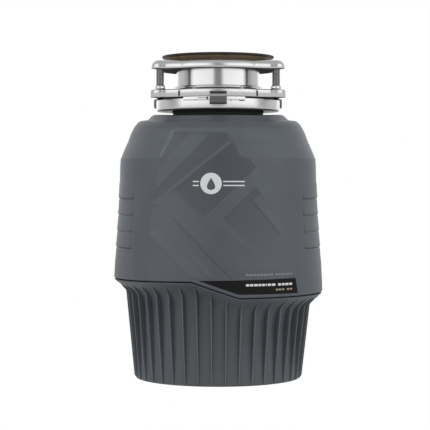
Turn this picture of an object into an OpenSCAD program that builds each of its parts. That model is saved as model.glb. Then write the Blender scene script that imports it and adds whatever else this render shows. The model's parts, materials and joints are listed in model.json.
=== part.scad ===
// Kitchen garbage disposal on a three-screw sink mount.
// The motor's axis is Z, the front faces -Y, and Z = 0 is the surface that the base stands on.

/* [Casing] */
// Largest outside diameter of the casing, at the seam
body_d = 212.8; // [196:0.2:260]
// Height of the casing's flat top above the surface it stands on
body_h = 267.5; // [262:0.5:330]
// Outside diameter of the ribbed base's drum
drum_d = 172; // [160:0.5:180]
// Wall of the casing shells
shell_t = 2.5; // [2:0.1:3.5]
// Height of the seam on the left
seam_left = 102; // [98:0.5:106]
// Height of the seam on the right
seam_right = 88; // [84:0.5:92]
// Number of cooling ribs round the base
rib_n = 40; // [24:1:48]
// Thickness of a cooling rib
rib_t = 1.6; // [1.2:0.1:2.4]

/* [Sink mount] */
// Outside diameter of the tube that passes through the sink hole
tube_d = 85; // [80:0.5:88]
// Wall of the sink flange's tube
tube_t = 1.5; // [1.2:0.1:2.2]
// Width of the sink flange's lip outside its tube
lip_w = 14.65; // [12:0.05:18]
// Diameter of the three mounting screws
screw_d = 7.9; // [6.5:0.1:9]
// Height of the lock ring
lock_h = 11.5; // [11:0.5:16]
// Height from the casing's top to the sink flange's rim
mount_h = 60; // [58:0.5:72]
// Wall of the pressed steel rings
plate_t = 2.5; // [2:0.1:3]

/* [Grinding chamber] */
// Inside diameter of the grinding chamber
chamber_d = 144; // [132:0.5:156]
// Wall of the grinding chamber
chamber_t = 2.5; // [2:0.1:3.5]
// Height of the shredder ring
ring_h = 28; // [22:0.5:32]
// Diameter of the dishwasher inlet's nipple
inlet_d = 22.2; // [18:0.1:24]
// Outside diameter of the discharge tube
drain_d = 38.1; // [32:0.1:40]

/* [Motor] */
// Diameter of the motor shaft
shaft_d = 12.7; // [10:0.1:15]
// Diameter of the rotor
rotor_d = 76; // [66:0.5:88]
// Height of the stator's steel stack
stack_h = 42; // [36:0.5:48]
// Diameter of the wiring hole for a conduit clamp
conduit_d = 22.2; // [20:0.1:26]
// Diameter of the reset button
button_d = 10; // [8:0.1:13]

/* [Hidden] */
$fn = 64;

// Clearances
run = 0.05;          // shaft in its bearing, per side
slack = 0.5;         // between pieces that only lie side by side
free = 0.4;          // between pieces that move past each other

// Radii of the casing
body_r = body_d / 2;
drum_r = drum_d / 2;
drum_in = drum_r - shell_t;

// Radii of the sink mount, from the tube outwards
tube_r = tube_d / 2;
throat_r = tube_r - tube_t;
neck_r = throat_r + chamber_t;
boot_in = neck_r + 0.2;
boot_r = boot_in + 3.1;
web_r = boot_r + slack;
seal_r = tube_r + 12.7;
hook_in = seal_r + 0.3;
hook_r = hook_in + 1.7;
ledge_r = hook_r + 3.3;
lock_in = ledge_r + 1;
lock_r = lock_in + 1.5;
ring_r = lock_r - slack;
bolt_r = lock_r + 4;
flange_r = tube_r + lip_w;
backup_r = ring_r - 2.5;
screw_r = screw_d / 2;
bolt_angles = [210, 330, 90];
ear_angles = [270, 30, 150];

// Heights of the sink mount, from the casing's top upwards
deck_z = body_h;
lock_z = deck_z + 3.5;
lock_top = lock_z + lock_h;
chamber_top = lock_z + 3.5;
upper_z = lock_top + 1;
upper_plate_z = upper_z + 5.5;
upper_top = upper_plate_z + plate_t;
rim_z = deck_z + mount_h;
flange_t = 1.5;
sink_gasket_t = 5;
backup_top = rim_z - flange_t - sink_gasket_t;
backup_h = 8.5;
backup_z = backup_top - backup_h;
tube_z = deck_z + 15.5;
baffle_seat_z = tube_z - 2.6;
screw_top = backup_top - plate_t - 0.2;
hub_h = 4.5;
snap_r = 1.25;
snap_z = upper_plate_z - snap_r - 0.2;

// Heights inside the base, from the bottom upwards
cover_z = 3;
cover_t = 1.5;
frame_z = 30;
frame_h = 18;
stator_z = frame_z + frame_h + 14;
stator_top = stator_z + stack_h;
bridge_z = stator_top + 13;
bridge_t = 9;
drain_z = bridge_z + bridge_t;
drain_h = 41;
drain_top = drain_z + drain_h;
chamber_z = drain_top + 2;
table_z = chamber_z;
table_t = 3;
chamber_r = chamber_d / 2;
chamber_out = chamber_r + chamber_t;
shoulder_z = deck_z - 31.5;
ring_z = drain_top - 2;
outlet_z = drain_z + drain_h / 2 - 0.1;

// Motor radii, from the drum inwards
blanket_r = drum_in - slack;
blanket_t = 4;
frame_r = blanket_r - blanket_t - 1;
tie_r = frame_r - 4.5;
tie_d = 5;
stator_r = tie_r - tie_d / 2 - 3;
rotor_r = rotor_d / 2;
shaft_r = shaft_d / 2;
bearing_r = shaft_r + 7.65;
bearing_h = 10;
coil_in = rotor_r + 6;
coil_out = stator_r - 4;

// Grinding parts
table_r = chamber_r - 7.5;
ring_in = table_r + 1.5;
ring_out = chamber_r - 0.4;
lug_at = table_r - 18.5;
lug_reach = 16.5;
pivot_r = 4;
lug_h = 8.5;

// Ports
inlet_r = inlet_d / 2;
inlet_z = deck_z - 61.5;
inlet_az = 135;
inlet_reach = body_r + 20;
drain_r = drain_d / 2;
spigot_r = drain_r + 1;
spigot_in = drain_r - 2.5;
spigot_end = body_r + 2;
sleeve_y = body_r - 1;
sleeve_end = sleeve_y + 24;
bend_r = 28;
elbow_t = 1.6;
elbow_drop = 40;

// Underside
conduit_r = conduit_d / 2;
conduit_x = -50;
button_r = button_d / 2;
button_at = [44, -30];
button_z = 1;
guard_z = 6;
guard_h = 20;
button_travel = 3;
boss_r = drum_in - 6.5;
boss_out = 7;
boss_angles = [90, 215, 325];
wrench_r = 8;
window_at = [-46, 28];
window_size = [26, 22];
ground_at = [-28, -30];
lead_at = [-42, 26];
lead_gap = 6;
lead_r = 1.6;

// The seam is a broken line across the front, cut straight through from front to back
dip_left = -26;
dip_right = 20;
seam_line = [
    [-body_r - 5, seam_left], [dip_left, seam_left + 1.2],
    [dip_right, seam_right - 0.4], [body_r + 5, seam_right]
];
function seam_at(x) = lookup(x, seam_line);
groove = 0.8;
collar_h = 7;
collar_r = body_r - 1.1;

// Outside of the upper shell, top first, as radius and height
deck_r = lock_r + 3;
crease_r = body_r - 6.8;
function between(t) = deck_r + t * (crease_r - deck_r);
shell_profile = [
    [deck_r, deck_z], [between(0.10), deck_z - 2.5], [between(0.18), deck_z - 5],
    [between(0.37), deck_z - 7], [between(0.56), deck_z - 11.5], [between(0.62), deck_z - 14.8],
    [crease_r, deck_z - 45.1], [body_r - 6.1, deck_z - 62.5], [body_r - 5.3, deck_z - 94.5],
    [body_r - 3.2, seam_left + 40], [body_r - 1.2, seam_left + 15], [body_r, seam_right],
    [body_r, seam_right - 10]
];
shell_hole_r = boot_r + 1.2;

// ---- Shapes used more than once ----

// Washer or tube standing on z
module tube(r_out, r_in, z, h) {
    translate([0, 0, z])
        difference() {
            cylinder(r = r_out, h = h);
            translate([0, 0, -1]) cylinder(r = r_in, h = h + 2);
        }
}

// Tube lying along +Y from y to y + len, on the outlet's height
module tube_y(r_out, r_in, y, len) {
    translate([0, y, outlet_z])
        rotate([-90, 0, 0])
            difference() {
                cylinder(r = r_out, h = len);
                translate([0, 0, -1]) cylinder(r = r_in, h = len + 2);
            }
}

// Disc with three lobes round the mounting screws
module lobed_outline(disc_r, lobe_r) {
    spread = 20;
    circle(r = disc_r);
    for (a = bolt_angles)
        rotate(a) {
            translate([bolt_r, 0]) circle(r = lobe_r);
            polygon([
                [disc_r * cos(spread), -disc_r * sin(spread)], [bolt_r, -lobe_r],
                [bolt_r, lobe_r], [disc_r * cos(spread), disc_r * sin(spread)]
            ]);
        }
}

// Pressed dish: a lobed plate with a skirt turned down round its edge
module lobed_dish(disc_r, lobe_r, z, h, skirt_t) {
    difference() {
        translate([0, 0, z]) linear_extrude(h) lobed_outline(disc_r, lobe_r);
        translate([0, 0, z - 1])
            linear_extrude(h + 1 - plate_t) lobed_outline(disc_r - skirt_t, lobe_r - skirt_t);
    }
}

// Slab that follows the seam, from one depth below it to another
module seam_slab(top, bottom) {
    points = concat(
        [for (p = seam_line) [p[0], p[1] - top]],
        [for (i = [len(seam_line) - 1:-1:0]) [seam_line[i][0], seam_line[i][1] - bottom]]
    );
    rotate([90, 0, 0])
        translate([0, 0, -body_r - 5])
            linear_extrude(2 * body_r + 10) polygon(points);
}

// Places its children at the dishwasher inlet, with their +Z along the nipple
module at_inlet(r) {
    rotate(inlet_az) translate([r, 0, inlet_z]) rotate([0, 90, 0]) children();
}

// ---- Sink mount ----

module sink_flange() {
    flare = 6;
    color("silver")
        difference() {
            rotate_extrude()
                polygon([
                    [throat_r, tube_z], [tube_r, tube_z], [tube_r, backup_top],
                    [tube_r + flare, rim_z - flange_t], [flange_r, rim_z - flange_t], [flange_r, rim_z],
                    [tube_r + flare - 1, rim_z], [throat_r, backup_top + 0.5]
                ]);
            tube(tube_r + 1, tube_r - 0.7, snap_z - snap_r, 2 * snap_r);
        }
}

module sink_gasket() {
    color("#1c1613") tube(flange_r - 0.1, tube_r + 6.5, backup_top, sink_gasket_t);
}

module backup_flange() {
    color("gainsboro")
        difference() {
            lobed_dish(backup_r, screw_r + 5, backup_z, backup_h, 2);
            translate([0, 0, backup_z - 1]) cylinder(r = tube_r + slack, h = backup_h + 2);
        }
}

module upper_mount_ring() {
    hook_z = lock_top - 5;
    color("gainsboro") {
        difference() {
            union() {
                lobed_dish(ring_r, screw_r + 6, upper_z, upper_top - upper_z, 2);
                translate([0, 0, upper_plate_z]) cylinder(r = tube_r + 3.5, h = plate_t + hub_h);
                for (a = bolt_angles)
                    rotate(a) translate([bolt_r, 0, upper_plate_z]) cylinder(r = screw_r + 1.1, h = 6.5);
                tube(hook_r, hook_in, hook_z, upper_plate_z - hook_z + 0.5);
            }
            translate([0, 0, upper_z - 1]) cylinder(r = tube_r + slack, h = 40);
            for (a = bolt_angles)
                rotate(a) translate([bolt_r, 0, upper_z - 1]) cylinder(r = screw_r + run, h = 20);
        }
        for (a = ear_angles)
            rotate(a - 12)
                rotate_extrude(angle = 30)
                    translate([hook_r - 0.5, lock_top - 3.2]) square([ledge_r - hook_r + 0.5, 1.5]);
    }
}

module snap_ring() {
    gap_deg = 14;
    color("dimgray")
        rotate(gap_deg / 2)
            rotate_extrude(angle = 360 - gap_deg)
                translate([tube_r + 0.55, snap_z]) circle(r = snap_r);
}

module mount_screw(a) {
    head_h = 3.7;
    head_z = upper_z + 0.3;
    slot_w = 1.6;
    color("lightgray")
        rotate(a)
            translate([bolt_r, 0, head_z])
                difference() {
                    union() {
                        cylinder(r = screw_r + 2, h = head_h);
                        cylinder(r = screw_r, h = screw_top - head_z);
                    }
                    translate([-20, -slot_w / 2, -1]) cube([40, slot_w, 2.4]);
                }
}

module mount_screw_a() { mount_screw(bolt_angles[0]); }
module mount_screw_b() { mount_screw(bolt_angles[1]); }
module mount_screw_c() { mount_screw(bolt_angles[2]); }

module lock_ring() {
    web_t = 1.5;
    lip_t = 1.5;
    ear_w = 17;
    ear_t = 1.6;
    ear_gap = 6;
    ear_z = lock_z + 4.5;
    ear_top = lock_z + 17.8;
    ear_x = lock_r + ear_t;
    ear_end = ear_x + ear_gap + ear_t;
    color("lightsteelblue") {
        tube(lock_r, lock_in, lock_z, lock_h);
        tube(lock_in + 0.5, web_r, lock_z, web_t);
        for (a = ear_angles) {
            rotate(a - 9)
                rotate_extrude(angle = 18)
                    translate([hook_r + 0.3, lock_top - lip_t]) square([lock_in - hook_r, lip_t]);
            rotate(a)
                difference() {
                    union() {
                        translate([lock_r, -ear_w / 2, ear_z])
                            cube([ear_end - lock_r, ear_w, ear_top - ear_z]);
                        translate([lock_in + 0.7, -ear_w / 2, ear_z])
                            cube([lock_r - lock_in, ear_w, lock_top - ear_z]);
                    }
                    translate([ear_x, -ear_w, ear_z + ear_t])
                        cube([ear_gap, 2 * ear_w, ear_top - ear_z - 2 * ear_t]);
                }
        }
    }
}

module mount_gasket() {
    top = snap_z - snap_r - 0.6;
    color("#17181a")
        rotate_extrude()
            polygon([
                [throat_r - 3, chamber_top], [seal_r, chamber_top], [seal_r, top],
                [tube_r + 0.2, top], [tube_r + 0.2, baffle_seat_z], [throat_r - 3, baffle_seat_z]
            ]);
}

module neck_boot() {
    color("#17181a") tube(boot_r, boot_in, deck_z + 0.2, chamber_top - 1.7 - deck_z);
}

module splash_baffle() {
    flap_z = deck_z + 1;
    rim_low = baffle_seat_z + 0.2;
    rim_t = 1.8;
    skirt_r = throat_r - 3 - free;
    slits = 5;
    slit_w = 1.2;
    color("#17181a")
        difference() {
            union() {
                tube(throat_r - free, skirt_r - 2, rim_low, rim_t);
                tube(skirt_r, skirt_r - 2, flap_z, rim_low + 0.5 - flap_z);
                translate([0, 0, flap_z]) cylinder(r = skirt_r - 1, h = 1.5);
            }
            translate([0, 0, flap_z - 1]) cylinder(r = 9, h = 4);
            for (i = [0:slits - 1])
                rotate(i * 360 / slits)
                    translate([0, -slit_w / 2, flap_z - 1]) cube([skirt_r - 5, slit_w, 4]);
        }
}

// ---- Grinding chamber ----

module grind_chamber() {
    neck_z = deck_z - 5.5;
    lip_z = chamber_top - 1.5;
    flange = chamber_out + 4;
    color("slategray")
        difference() {
            rotate_extrude()
                polygon([
                    [chamber_r, chamber_z], [flange, chamber_z], [flange, chamber_z + 3],
                    [chamber_out, chamber_z + 3], [chamber_out, shoulder_z], [neck_r, neck_z],
                    [neck_r, lip_z], [seal_r + 0.8, lip_z], [seal_r + 0.8, chamber_top],
                    [throat_r, chamber_top], [throat_r, neck_z - 1], [chamber_r, shoulder_z - 1]
                ]);
            at_inlet(chamber_r - 10) cylinder(r = inlet_r - 2.6, h = 20);
        }
}

module dishwasher_inlet() {
    collar_t = 3;
    outer = sqrt(chamber_out * chamber_out + inlet_r * inlet_r) - chamber_out;
    base = chamber_out + 0.2;
    color("#2a2c2e")
        difference() {
            union() {
                at_inlet(base) cylinder(r = inlet_r, h = inlet_reach - base);
                at_inlet(body_r - 3) cylinder(r = inlet_r + 3, h = collar_t);
            }
            at_inlet(base - 1) cylinder(r = inlet_r - 2.6, h = inlet_reach);
            cylinder(r = base + outer, h = body_h);
        }
}

module inlet_plug() {
    color("#2a2c2e") at_inlet(chamber_out + 6) cylinder(r = inlet_r - 2.7, h = 1.5);
}

module drain_housing() {
    floor_t = 3;
    ledge_t = 4;
    seal_seat = shaft_r + 6;
    color("dimgray")
        difference() {
            union() {
                difference() {
                    translate([0, 0, drain_z]) cylinder(r = chamber_out, h = drain_h);
                    translate([0, 0, drain_z + floor_t]) cylinder(r = chamber_r, h = drain_h);
                }
                tube(chamber_r + 0.5, ring_in, ring_z - ledge_t, ledge_t);
                translate([0, 0, drain_z]) cylinder(r = seal_seat + 3, h = 6);
                tube_y(spigot_r, spigot_in - 1, chamber_r + 1, spigot_end - chamber_r - 1);
            }
            translate([0, 0, drain_z - 1]) cylinder(r = seal_seat, h = 8);
            tube_y(spigot_in, 0, chamber_r - 12, spigot_end);
        }
}

module chamber_gasket() {
    color("#17181a") tube(chamber_out + 3, chamber_r, drain_top, chamber_z - drain_top);
}

module grind_ring() {
    slots = 24;
    slot_w = 5;
    color("silver")
        difference() {
            tube(ring_out, ring_in, ring_z, ring_h);
            for (i = [0:slots - 1])
                rotate(i * 360 / slots)
                    translate([ring_in - 2, -slot_w / 2, ring_z - 1]) cube([4, slot_w, ring_h - 8]);
        }
}

module turntable() {
    color("silver")
        difference() {
            union() {
                translate([0, 0, table_z]) cylinder(r = table_r, h = table_t);
                translate([0, 0, table_z + table_t - 0.5]) cylinder(r = shaft_r + 6, h = 2.5);
            }
            translate([0, 0, table_z - 1]) cylinder(r = shaft_r + run, h = 10);
        }
}

module undercutter() {
    teeth = 4;
    h = 3;
    color("silver")
        difference() {
            union() {
                translate([0, 0, table_z - h]) cylinder(r = shaft_r + 16, h = h);
                for (i = [0:teeth - 1])
                    rotate(i * 360 / teeth)
                        translate([0, -6, table_z - h]) cube([table_r - 3, 12, h]);
            }
            translate([0, 0, table_z - h - 1]) cylinder(r = shaft_r + run, h = h + 2);
        }
}

module impeller_lug(side) {
    z = table_z + table_t + 0.3;
    color("darkgray")
        rotate(side)
            translate([lug_at, 0, z])
                difference() {
                    union() {
                        cylinder(r = pivot_r + 4, h = lug_h);
                        translate([0, -pivot_r - 2, 0]) cube([lug_reach, 2 * pivot_r + 4, 3]);
                        translate([lug_reach - 6, -pivot_r - 2, 0]) cube([6, 2 * pivot_r + 4, lug_h + 3]);
                    }
                    translate([0, 0, -1]) cylinder(r = pivot_r + run, h = lug_h + 2);
                }
}

module impeller_lug_a() { impeller_lug(0); }
module impeller_lug_b() { impeller_lug(180); }

module lug_rivets() {
    z = table_z + table_t;
    color("gray")
        for (side = [0, 180])
            rotate(side)
                translate([lug_at, 0, z]) {
                    cylinder(r = pivot_r, h = lug_h + 0.6);
                    translate([0, 0, lug_h + 0.6]) cylinder(r = pivot_r + 1.2, h = 1.6);
                }
}

module turntable_nut() {
    color("silver")
        translate([0, 0, table_z + table_t + 2])
            difference() {
                cylinder(r = shaft_r + 5, h = 6, $fn = 6);
                translate([0, 0, -1]) cylinder(r = shaft_r + run, h = 8);
            }
}

// ---- Motor ----

module motor_shaft() {
    low = 12;
    hex_af = 6.35;
    color("lightgray")
        translate([0, 0, low])
            difference() {
                cylinder(r = shaft_r, h = table_z + table_t + 10 - low);
                translate([0, 0, -1]) cylinder(d = hex_af / cos(30), h = 9, $fn = 6);
            }
}

module shaft_seal() {
    color("#17181a") tube(shaft_r + 6, shaft_r + run, drain_z, 6);
}

module water_slinger() {
    color("#2a2c2e") tube(shaft_r + 10, shaft_r + run, drain_z + 7, 1.5);
}

module upper_bearing() {
    color("darkgoldenrod") tube(bearing_r, shaft_r + run, bridge_z - 1, bearing_h);
}

module upper_end_frame() {
    color("gray")
        difference() {
            union() {
                translate([0, 0, bridge_z]) cylinder(r = frame_r, h = 5);
                translate([0, 0, bridge_z - 1]) cylinder(r = bearing_r + 5, h = bearing_h);
            }
            translate([0, 0, bridge_z - 2]) cylinder(r = bearing_r, h = bearing_h + 4);
            for (i = [0:3])
                rotate(45 + 90 * i) translate([tie_r, 0, bridge_z - 1]) cylinder(d = tie_d + 0.4, h = 8);
        }
}

module stator_core() {
    slots = 24;
    color("dimgray")
        difference() {
            tube(stator_r, rotor_r + free, stator_z, stack_h);
            for (i = [0:slots - 1])
                rotate(i * 360 / slots)
                    translate([rotor_r - 1, -1.5, stator_z - 1]) cube([12, 3, stack_h + 2]);
        }
}

module coil(z, h) {
    color("chocolate")
        translate([0, 0, z])
            rotate_extrude()
                polygon([
                    [coil_in, 0], [coil_out, 0], [coil_out, h - 4],
                    [coil_out - 4, h], [coil_in + 4, h], [coil_in, h - 4]
                ]);
}

module upper_windings() { coil(stator_top, 12.4); }

module lower_windings() {
    translate([0, 0, 2 * stator_z]) mirror([0, 0, 1]) coil(stator_z, 13);
}

module rotor_core() {
    color("slategray") tube(rotor_r, shaft_r + run, stator_z, stack_h);
}

module rotor_end_rings() {
    color("silver")
        for (z = [stator_z - 4, stator_top])
            tube(rotor_r - 1, rotor_r - 11, z, 4);
}

module lower_bearing() {
    color("darkgoldenrod") tube(bearing_r, shaft_r + run, frame_z + 4, bearing_h);
}

module thrust_washer() {
    color("silver") tube(shaft_r + 5, shaft_r + run, frame_z + 4 + bearing_h + 0.4, 1.2);
}

module lower_end_frame() {
    color("gray")
        difference() {
            union() {
                tube(frame_r, frame_r - 8.5, frame_z, frame_h);
                translate([0, 0, frame_z]) cylinder(r = frame_r - 1, h = 4);
                translate([0, 0, frame_z]) cylinder(r = bearing_r + 4, h = 4 + bearing_h);
            }
            translate([0, 0, frame_z + 4]) cylinder(r = bearing_r, h = bearing_h + 1);
            translate([0, 0, frame_z - 1]) cylinder(r = shaft_r + 2, h = 10);
            for (i = [0:3])
                rotate(45 + 90 * i)
                    translate([tie_r, 0, frame_z - 1]) cylinder(d = tie_d + 0.4, h = frame_h + 2);
        }
}

module through_bolts() {
    head_h = 3;
    color("silver")
        for (i = [0:3])
            rotate(45 + 90 * i)
                translate([tie_r, 0, frame_z - head_h]) {
                    cylinder(d = tie_d, h = bridge_z + 5 + 2 * head_h - frame_z);
                    cylinder(d = tie_d + 3.6, h = head_h, $fn = 6);
                    translate([0, 0, bridge_z + 5 + head_h - frame_z])
                        cylinder(d = tie_d + 3.6, h = head_h, $fn = 6);
                }
}

module governor_collar() {
    color("ivory") {
        tube(shaft_r + 5, shaft_r + run, frame_z + frame_h + 1.5, 7);
        tube(shaft_r + 12, shaft_r + 4.5, frame_z + frame_h + 1.5, 2);
    }
}

module start_switch() {
    color("darkslategray") {
        translate([shaft_r + 17, -8, frame_z + 4]) cube([13, 16, 9]);
        translate([shaft_r + 18, -3, frame_z + 13]) cube([6, 6, 3]);
    }
}

// ---- Wiring compartment ----

module start_capacitor() {
    color("black")
        translate([-14, 46, 18]) rotate([0, 90, 0]) cylinder(r = 11, h = 46);
}

module overload_protector() {
    color("darkslategray")
        translate([button_at[0], button_at[1], guard_z])
            difference() {
                translate([-9, -12, 0]) cube([18, 24, guard_h]);
                translate([0, 0, -1]) cylinder(r = button_r + 0.3, h = 1 + button_travel + 6);
            }
}

module reset_button() {
    color("firebrick")
        translate([button_at[0], button_at[1], button_z])
            cylinder(r = button_r, h = guard_z + 4.5 - button_z);
}

module terminal_box() {
    size = [40, 62, 22];
    wall = 1.2;
    corner = [conduit_x - 18, -16];
    color("silver")
        translate([corner[0], corner[1], cover_z + cover_t + 0.2])
            difference() {
                cube(size);
                translate([wall, wall, -1]) cube(size - [2 * wall, 2 * wall, wall - 1]);
                for (i = [0:2])
                    translate([lead_at[0] - corner[0], lead_at[1] - corner[1] + lead_gap * i, size[2] - 3])
                        cylinder(r = lead_r + 0.3, h = 4);
            }
}

module supply_leads() {
    color("white")
        for (i = [0:2])
            translate([lead_at[0], lead_at[1] + lead_gap * i, cover_z + cover_t + 4])
                cylinder(r = lead_r, h = frame_z - cover_z - cover_t - 4.1);
}

module ground_screw() {
    color("seagreen")
        translate([ground_at[0], ground_at[1], 0]) {
            translate([0, 0, 1]) cylinder(r = 4, h = cover_z - 1);
            translate([0, 0, cover_z]) cylinder(r = 2.4, h = 8);
        }
}

module bottom_cover() {
    rolled_h = 5;
    color("darkgray")
        difference() {
            union() {
                translate([0, 0, cover_z]) cylinder(r = drum_in - 0.3, h = cover_t);
                translate([conduit_x, 0, cover_z]) cylinder(r = conduit_r + 1.9, h = rolled_h);
            }
            translate([0, 0, cover_z - 1]) cylinder(r = wrench_r, h = 4);
            translate([conduit_x, 0, cover_z - 1]) cylinder(r = conduit_r, h = rolled_h + 2);
            translate([button_at[0], button_at[1], cover_z - 1]) cylinder(r = button_r + 0.3, h = 4);
            translate([ground_at[0], ground_at[1], cover_z - 1]) cylinder(r = 2.5, h = 4);
            for (a = boss_angles)
                rotate(a) translate([boss_r, 0, cover_z - 1]) cylinder(r = 2.3, h = 4);
            translate([window_at[0] - window_size[0] / 2, window_at[1] - window_size[1] / 2, cover_z - 1])
                cube([window_size[0], window_size[1], 4]);
        }
}

module cover_screws() {
    color("silver")
        for (a = boss_angles)
            rotate(a)
                translate([boss_r, 0, 0]) {
                    translate([0, 0, 1]) cylinder(r = 4, h = cover_z - 1);
                    translate([0, 0, cover_z]) cylinder(r = 2, h = 10);
                }
}

module wiring_cover() {
    lap = 4;
    plate = [window_size[0] + 2 * lap, window_size[1] + 2 * lap, 1.2];
    color("gray")
        translate([window_at[0] - plate[0] / 2, window_at[1] - plate[1] / 2, cover_z - 1.3]) cube(plate);
}

// ---- Casing ----

module motor_blanket() {
    color("#3a3a3a") tube(blanket_r, blanket_r - blanket_t, frame_z, seam_right - 4 - frame_z);
}

module insulation_half(side) {
    inner = chamber_out + 0.6;
    outer = body_r - 5.3 - shell_t - 2;
    top_r = max(inner + 2, outer - 8);
    low = chamber_z + 5;
    color("#4a4f55")
        difference() {
            rotate(side)
                rotate_extrude(angle = 179)
                    polygon([
                        [inner, low], [outer, low], [outer, deck_z - 50],
                        [top_r, shoulder_z - 4], [inner, shoulder_z - 4]
                    ]);
            at_inlet(chamber_r - 10) cylinder(r = inlet_r + 1, h = 60);
        }
}

module insulation_left() { insulation_half(90.5); }
module insulation_right() { insulation_half(-89.5); }

module upper_shell() {
    inner = [for (p = shell_profile) [p[0] - shell_t, p[1] > deck_z - 12 ? p[1] - shell_t : p[1]]];
    n = len(inner);
    color("#5b6168")
        difference() {
            intersection() {
                rotate_extrude()
                    polygon(concat(
                        [[shell_hole_r, deck_z]], shell_profile,
                        [for (i = [n - 1:-1:0]) inner[i]], [[shell_hole_r, deck_z - shell_t]]
                    ));
                seam_slab(0, -body_h);
            }
            at_inlet(chamber_out + 5) cylinder(r = inlet_r + 1.2, h = 60);
            tube_y(spigot_r + 1.5, 0, chamber_out, 60);
        }
}

module base_shell() {
    rib_low = 14;
    rib_low_r = drum_r - 0.1;
    rib_high_r = drum_r + 8;
    color("#555a58")
        difference() {
            union() {
                difference() {
                    cylinder(r = drum_r, h = max(seam_left, seam_right) + 10);
                    translate([0, 0, -1]) cylinder(r = drum_in, h = body_h);
                }
                intersection() {
                    tube(collar_r, drum_in + 1, seam_right - 30, 70);
                    seam_slab(groove, collar_h);
                }
                for (i = [0:rib_n - 1]) {
                    a = (i + 0.53) * 360 / rib_n;
                    top = seam_at(drum_r * cos(a)) - collar_h;
                    rotate([90, 0, a])
                        translate([0, 0, -rib_t / 2])
                            linear_extrude(rib_t)
                                polygon([
                                    [drum_r - 1, rib_low], [rib_low_r, rib_low], [rib_high_r, top - 6],
                                    [collar_r - 2, top + 0.5], [drum_r - 1, top + 0.5]
                                ]);
                }
                for (a = boss_angles)
                    rotate(a)
                        translate([boss_r, 0, cover_z + cover_t + 0.2])
                            difference() {
                                cylinder(r = boss_out, h = 10);
                                translate([0, 0, -1]) cylinder(r = 2.05, h = 12);
                            }
            }
            seam_slab(groove, -40);
            intersection() {
                tube(collar_r - shell_t, drum_r + shell_t, seam_right - 30, 70);
                seam_slab(groove - 1, collar_h - shell_t);
            }
        }
}

// Plate that follows the seam's dip along its lower edge
module front_label() {
    t = 0.7;
    low = seam_right + 2.3;
    high = low + 15;
    left = dip_left + 6;
    right = 78;
    color("black")
        intersection() {
            tube(body_r + t, body_r + 0.05, low - 7, 40);
            rotate([90, 0, 0])
                linear_extrude(body_r + 5)
                    polygon([
                        [left, high - 1.5], [dip_right, low], [right, low], [right, high], [left, high]
                    ]);
        }
}

// Thin disc bent onto the front of the casing
module badge() {
    badge_r = 10.3;
    t = 0.6;
    az = 266.1;
    z = deck_z - 69.9;
    walls = [for (p = shell_profile) [p[1], p[0]]];
    low_r = lookup(z - 12, walls);
    high_r = lookup(z + 12, walls);
    color("gainsboro")
        intersection() {
            translate([0, 0, z])
                rotate_extrude()
                    polygon([
                        [low_r + 0.1, -12], [low_r + 0.1 + t, -12], [high_r + 0.1 + t, 12], [high_r + 0.1, 12]
                    ]);
            rotate(az) translate([body_r / 2, 0, z]) rotate([0, 90, 0]) cylinder(r = badge_r, h = body_r);
        }
}

// ---- Discharge ----

module tailpipe_mount() {
    color("#17181a")
        difference() {
            tube_y(spigot_r + 4.5, 0, sleeve_y, sleeve_end - sleeve_y);
            tube_y(spigot_r + 0.05, 0, sleeve_y - 1, spigot_end - sleeve_y + 1.3);
            tube_y(drain_r + 0.05, 0, sleeve_y, 60);
        }
}

module hose_clamps() {
    band_w = 7;
    color("silver")
        for (y = [sleeve_y + 1.5, sleeve_end - band_w - 1.5]) {
            tube_y(spigot_r + 5.9, spigot_r + 4.6, y, band_w);
            translate([-7, y + 0.5, outlet_z + spigot_r + 5.5]) cube([14, band_w - 1, 5]);
        }
}

module discharge_elbow() {
    start = spigot_end + 2;
    turn = sleeve_end + 4;
    color("#2a2c2e") {
        tube_y(drain_r, drain_r - elbow_t, start, turn - start);
        translate([0, turn, outlet_z - bend_r])
            rotate([0, -90, 0])
                rotate_extrude(angle = 90)
                    translate([bend_r, 0])
                        difference() {
                            circle(r = drain_r);
                            circle(r = drain_r - elbow_t);
                        }
        translate([0, turn + bend_r, outlet_z - bend_r - elbow_drop])
            difference() {
                cylinder(r = drain_r, h = elbow_drop);
                translate([0, 0, -1]) cylinder(r = drain_r - elbow_t, h = elbow_drop + 2);
            }
    }
}

sink_flange();
sink_gasket();
backup_flange();
upper_mount_ring();
snap_ring();
mount_screw_a();
mount_screw_b();
mount_screw_c();
lock_ring();
mount_gasket();
neck_boot();
splash_baffle();
grind_chamber();
dishwasher_inlet();
inlet_plug();
drain_housing();
chamber_gasket();
grind_ring();
turntable();
undercutter();
impeller_lug_a();
impeller_lug_b();
lug_rivets();
turntable_nut();
motor_shaft();
shaft_seal();
water_slinger();
upper_bearing();
upper_end_frame();
stator_core();
upper_windings();
lower_windings();
rotor_core();
rotor_end_rings();
lower_bearing();
thrust_washer();
lower_end_frame();
through_bolts();
governor_collar();
start_switch();
start_capacitor();
overload_protector();
reset_button();
terminal_box();
supply_leads();
ground_screw();
bottom_cover();
cover_screws();
wiring_cover();
motor_blanket();
insulation_left();
insulation_right();
upper_shell();
base_shell();
front_label();
badge();
tailpipe_mount();
hose_clamps();
discharge_elbow();
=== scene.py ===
# Kitchen garbage disposal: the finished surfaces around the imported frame, in metres, Z up, front at -Y
import json
import math
import bmesh
import bpy
import numpy as np
from mathutils import Matrix, Vector


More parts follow.
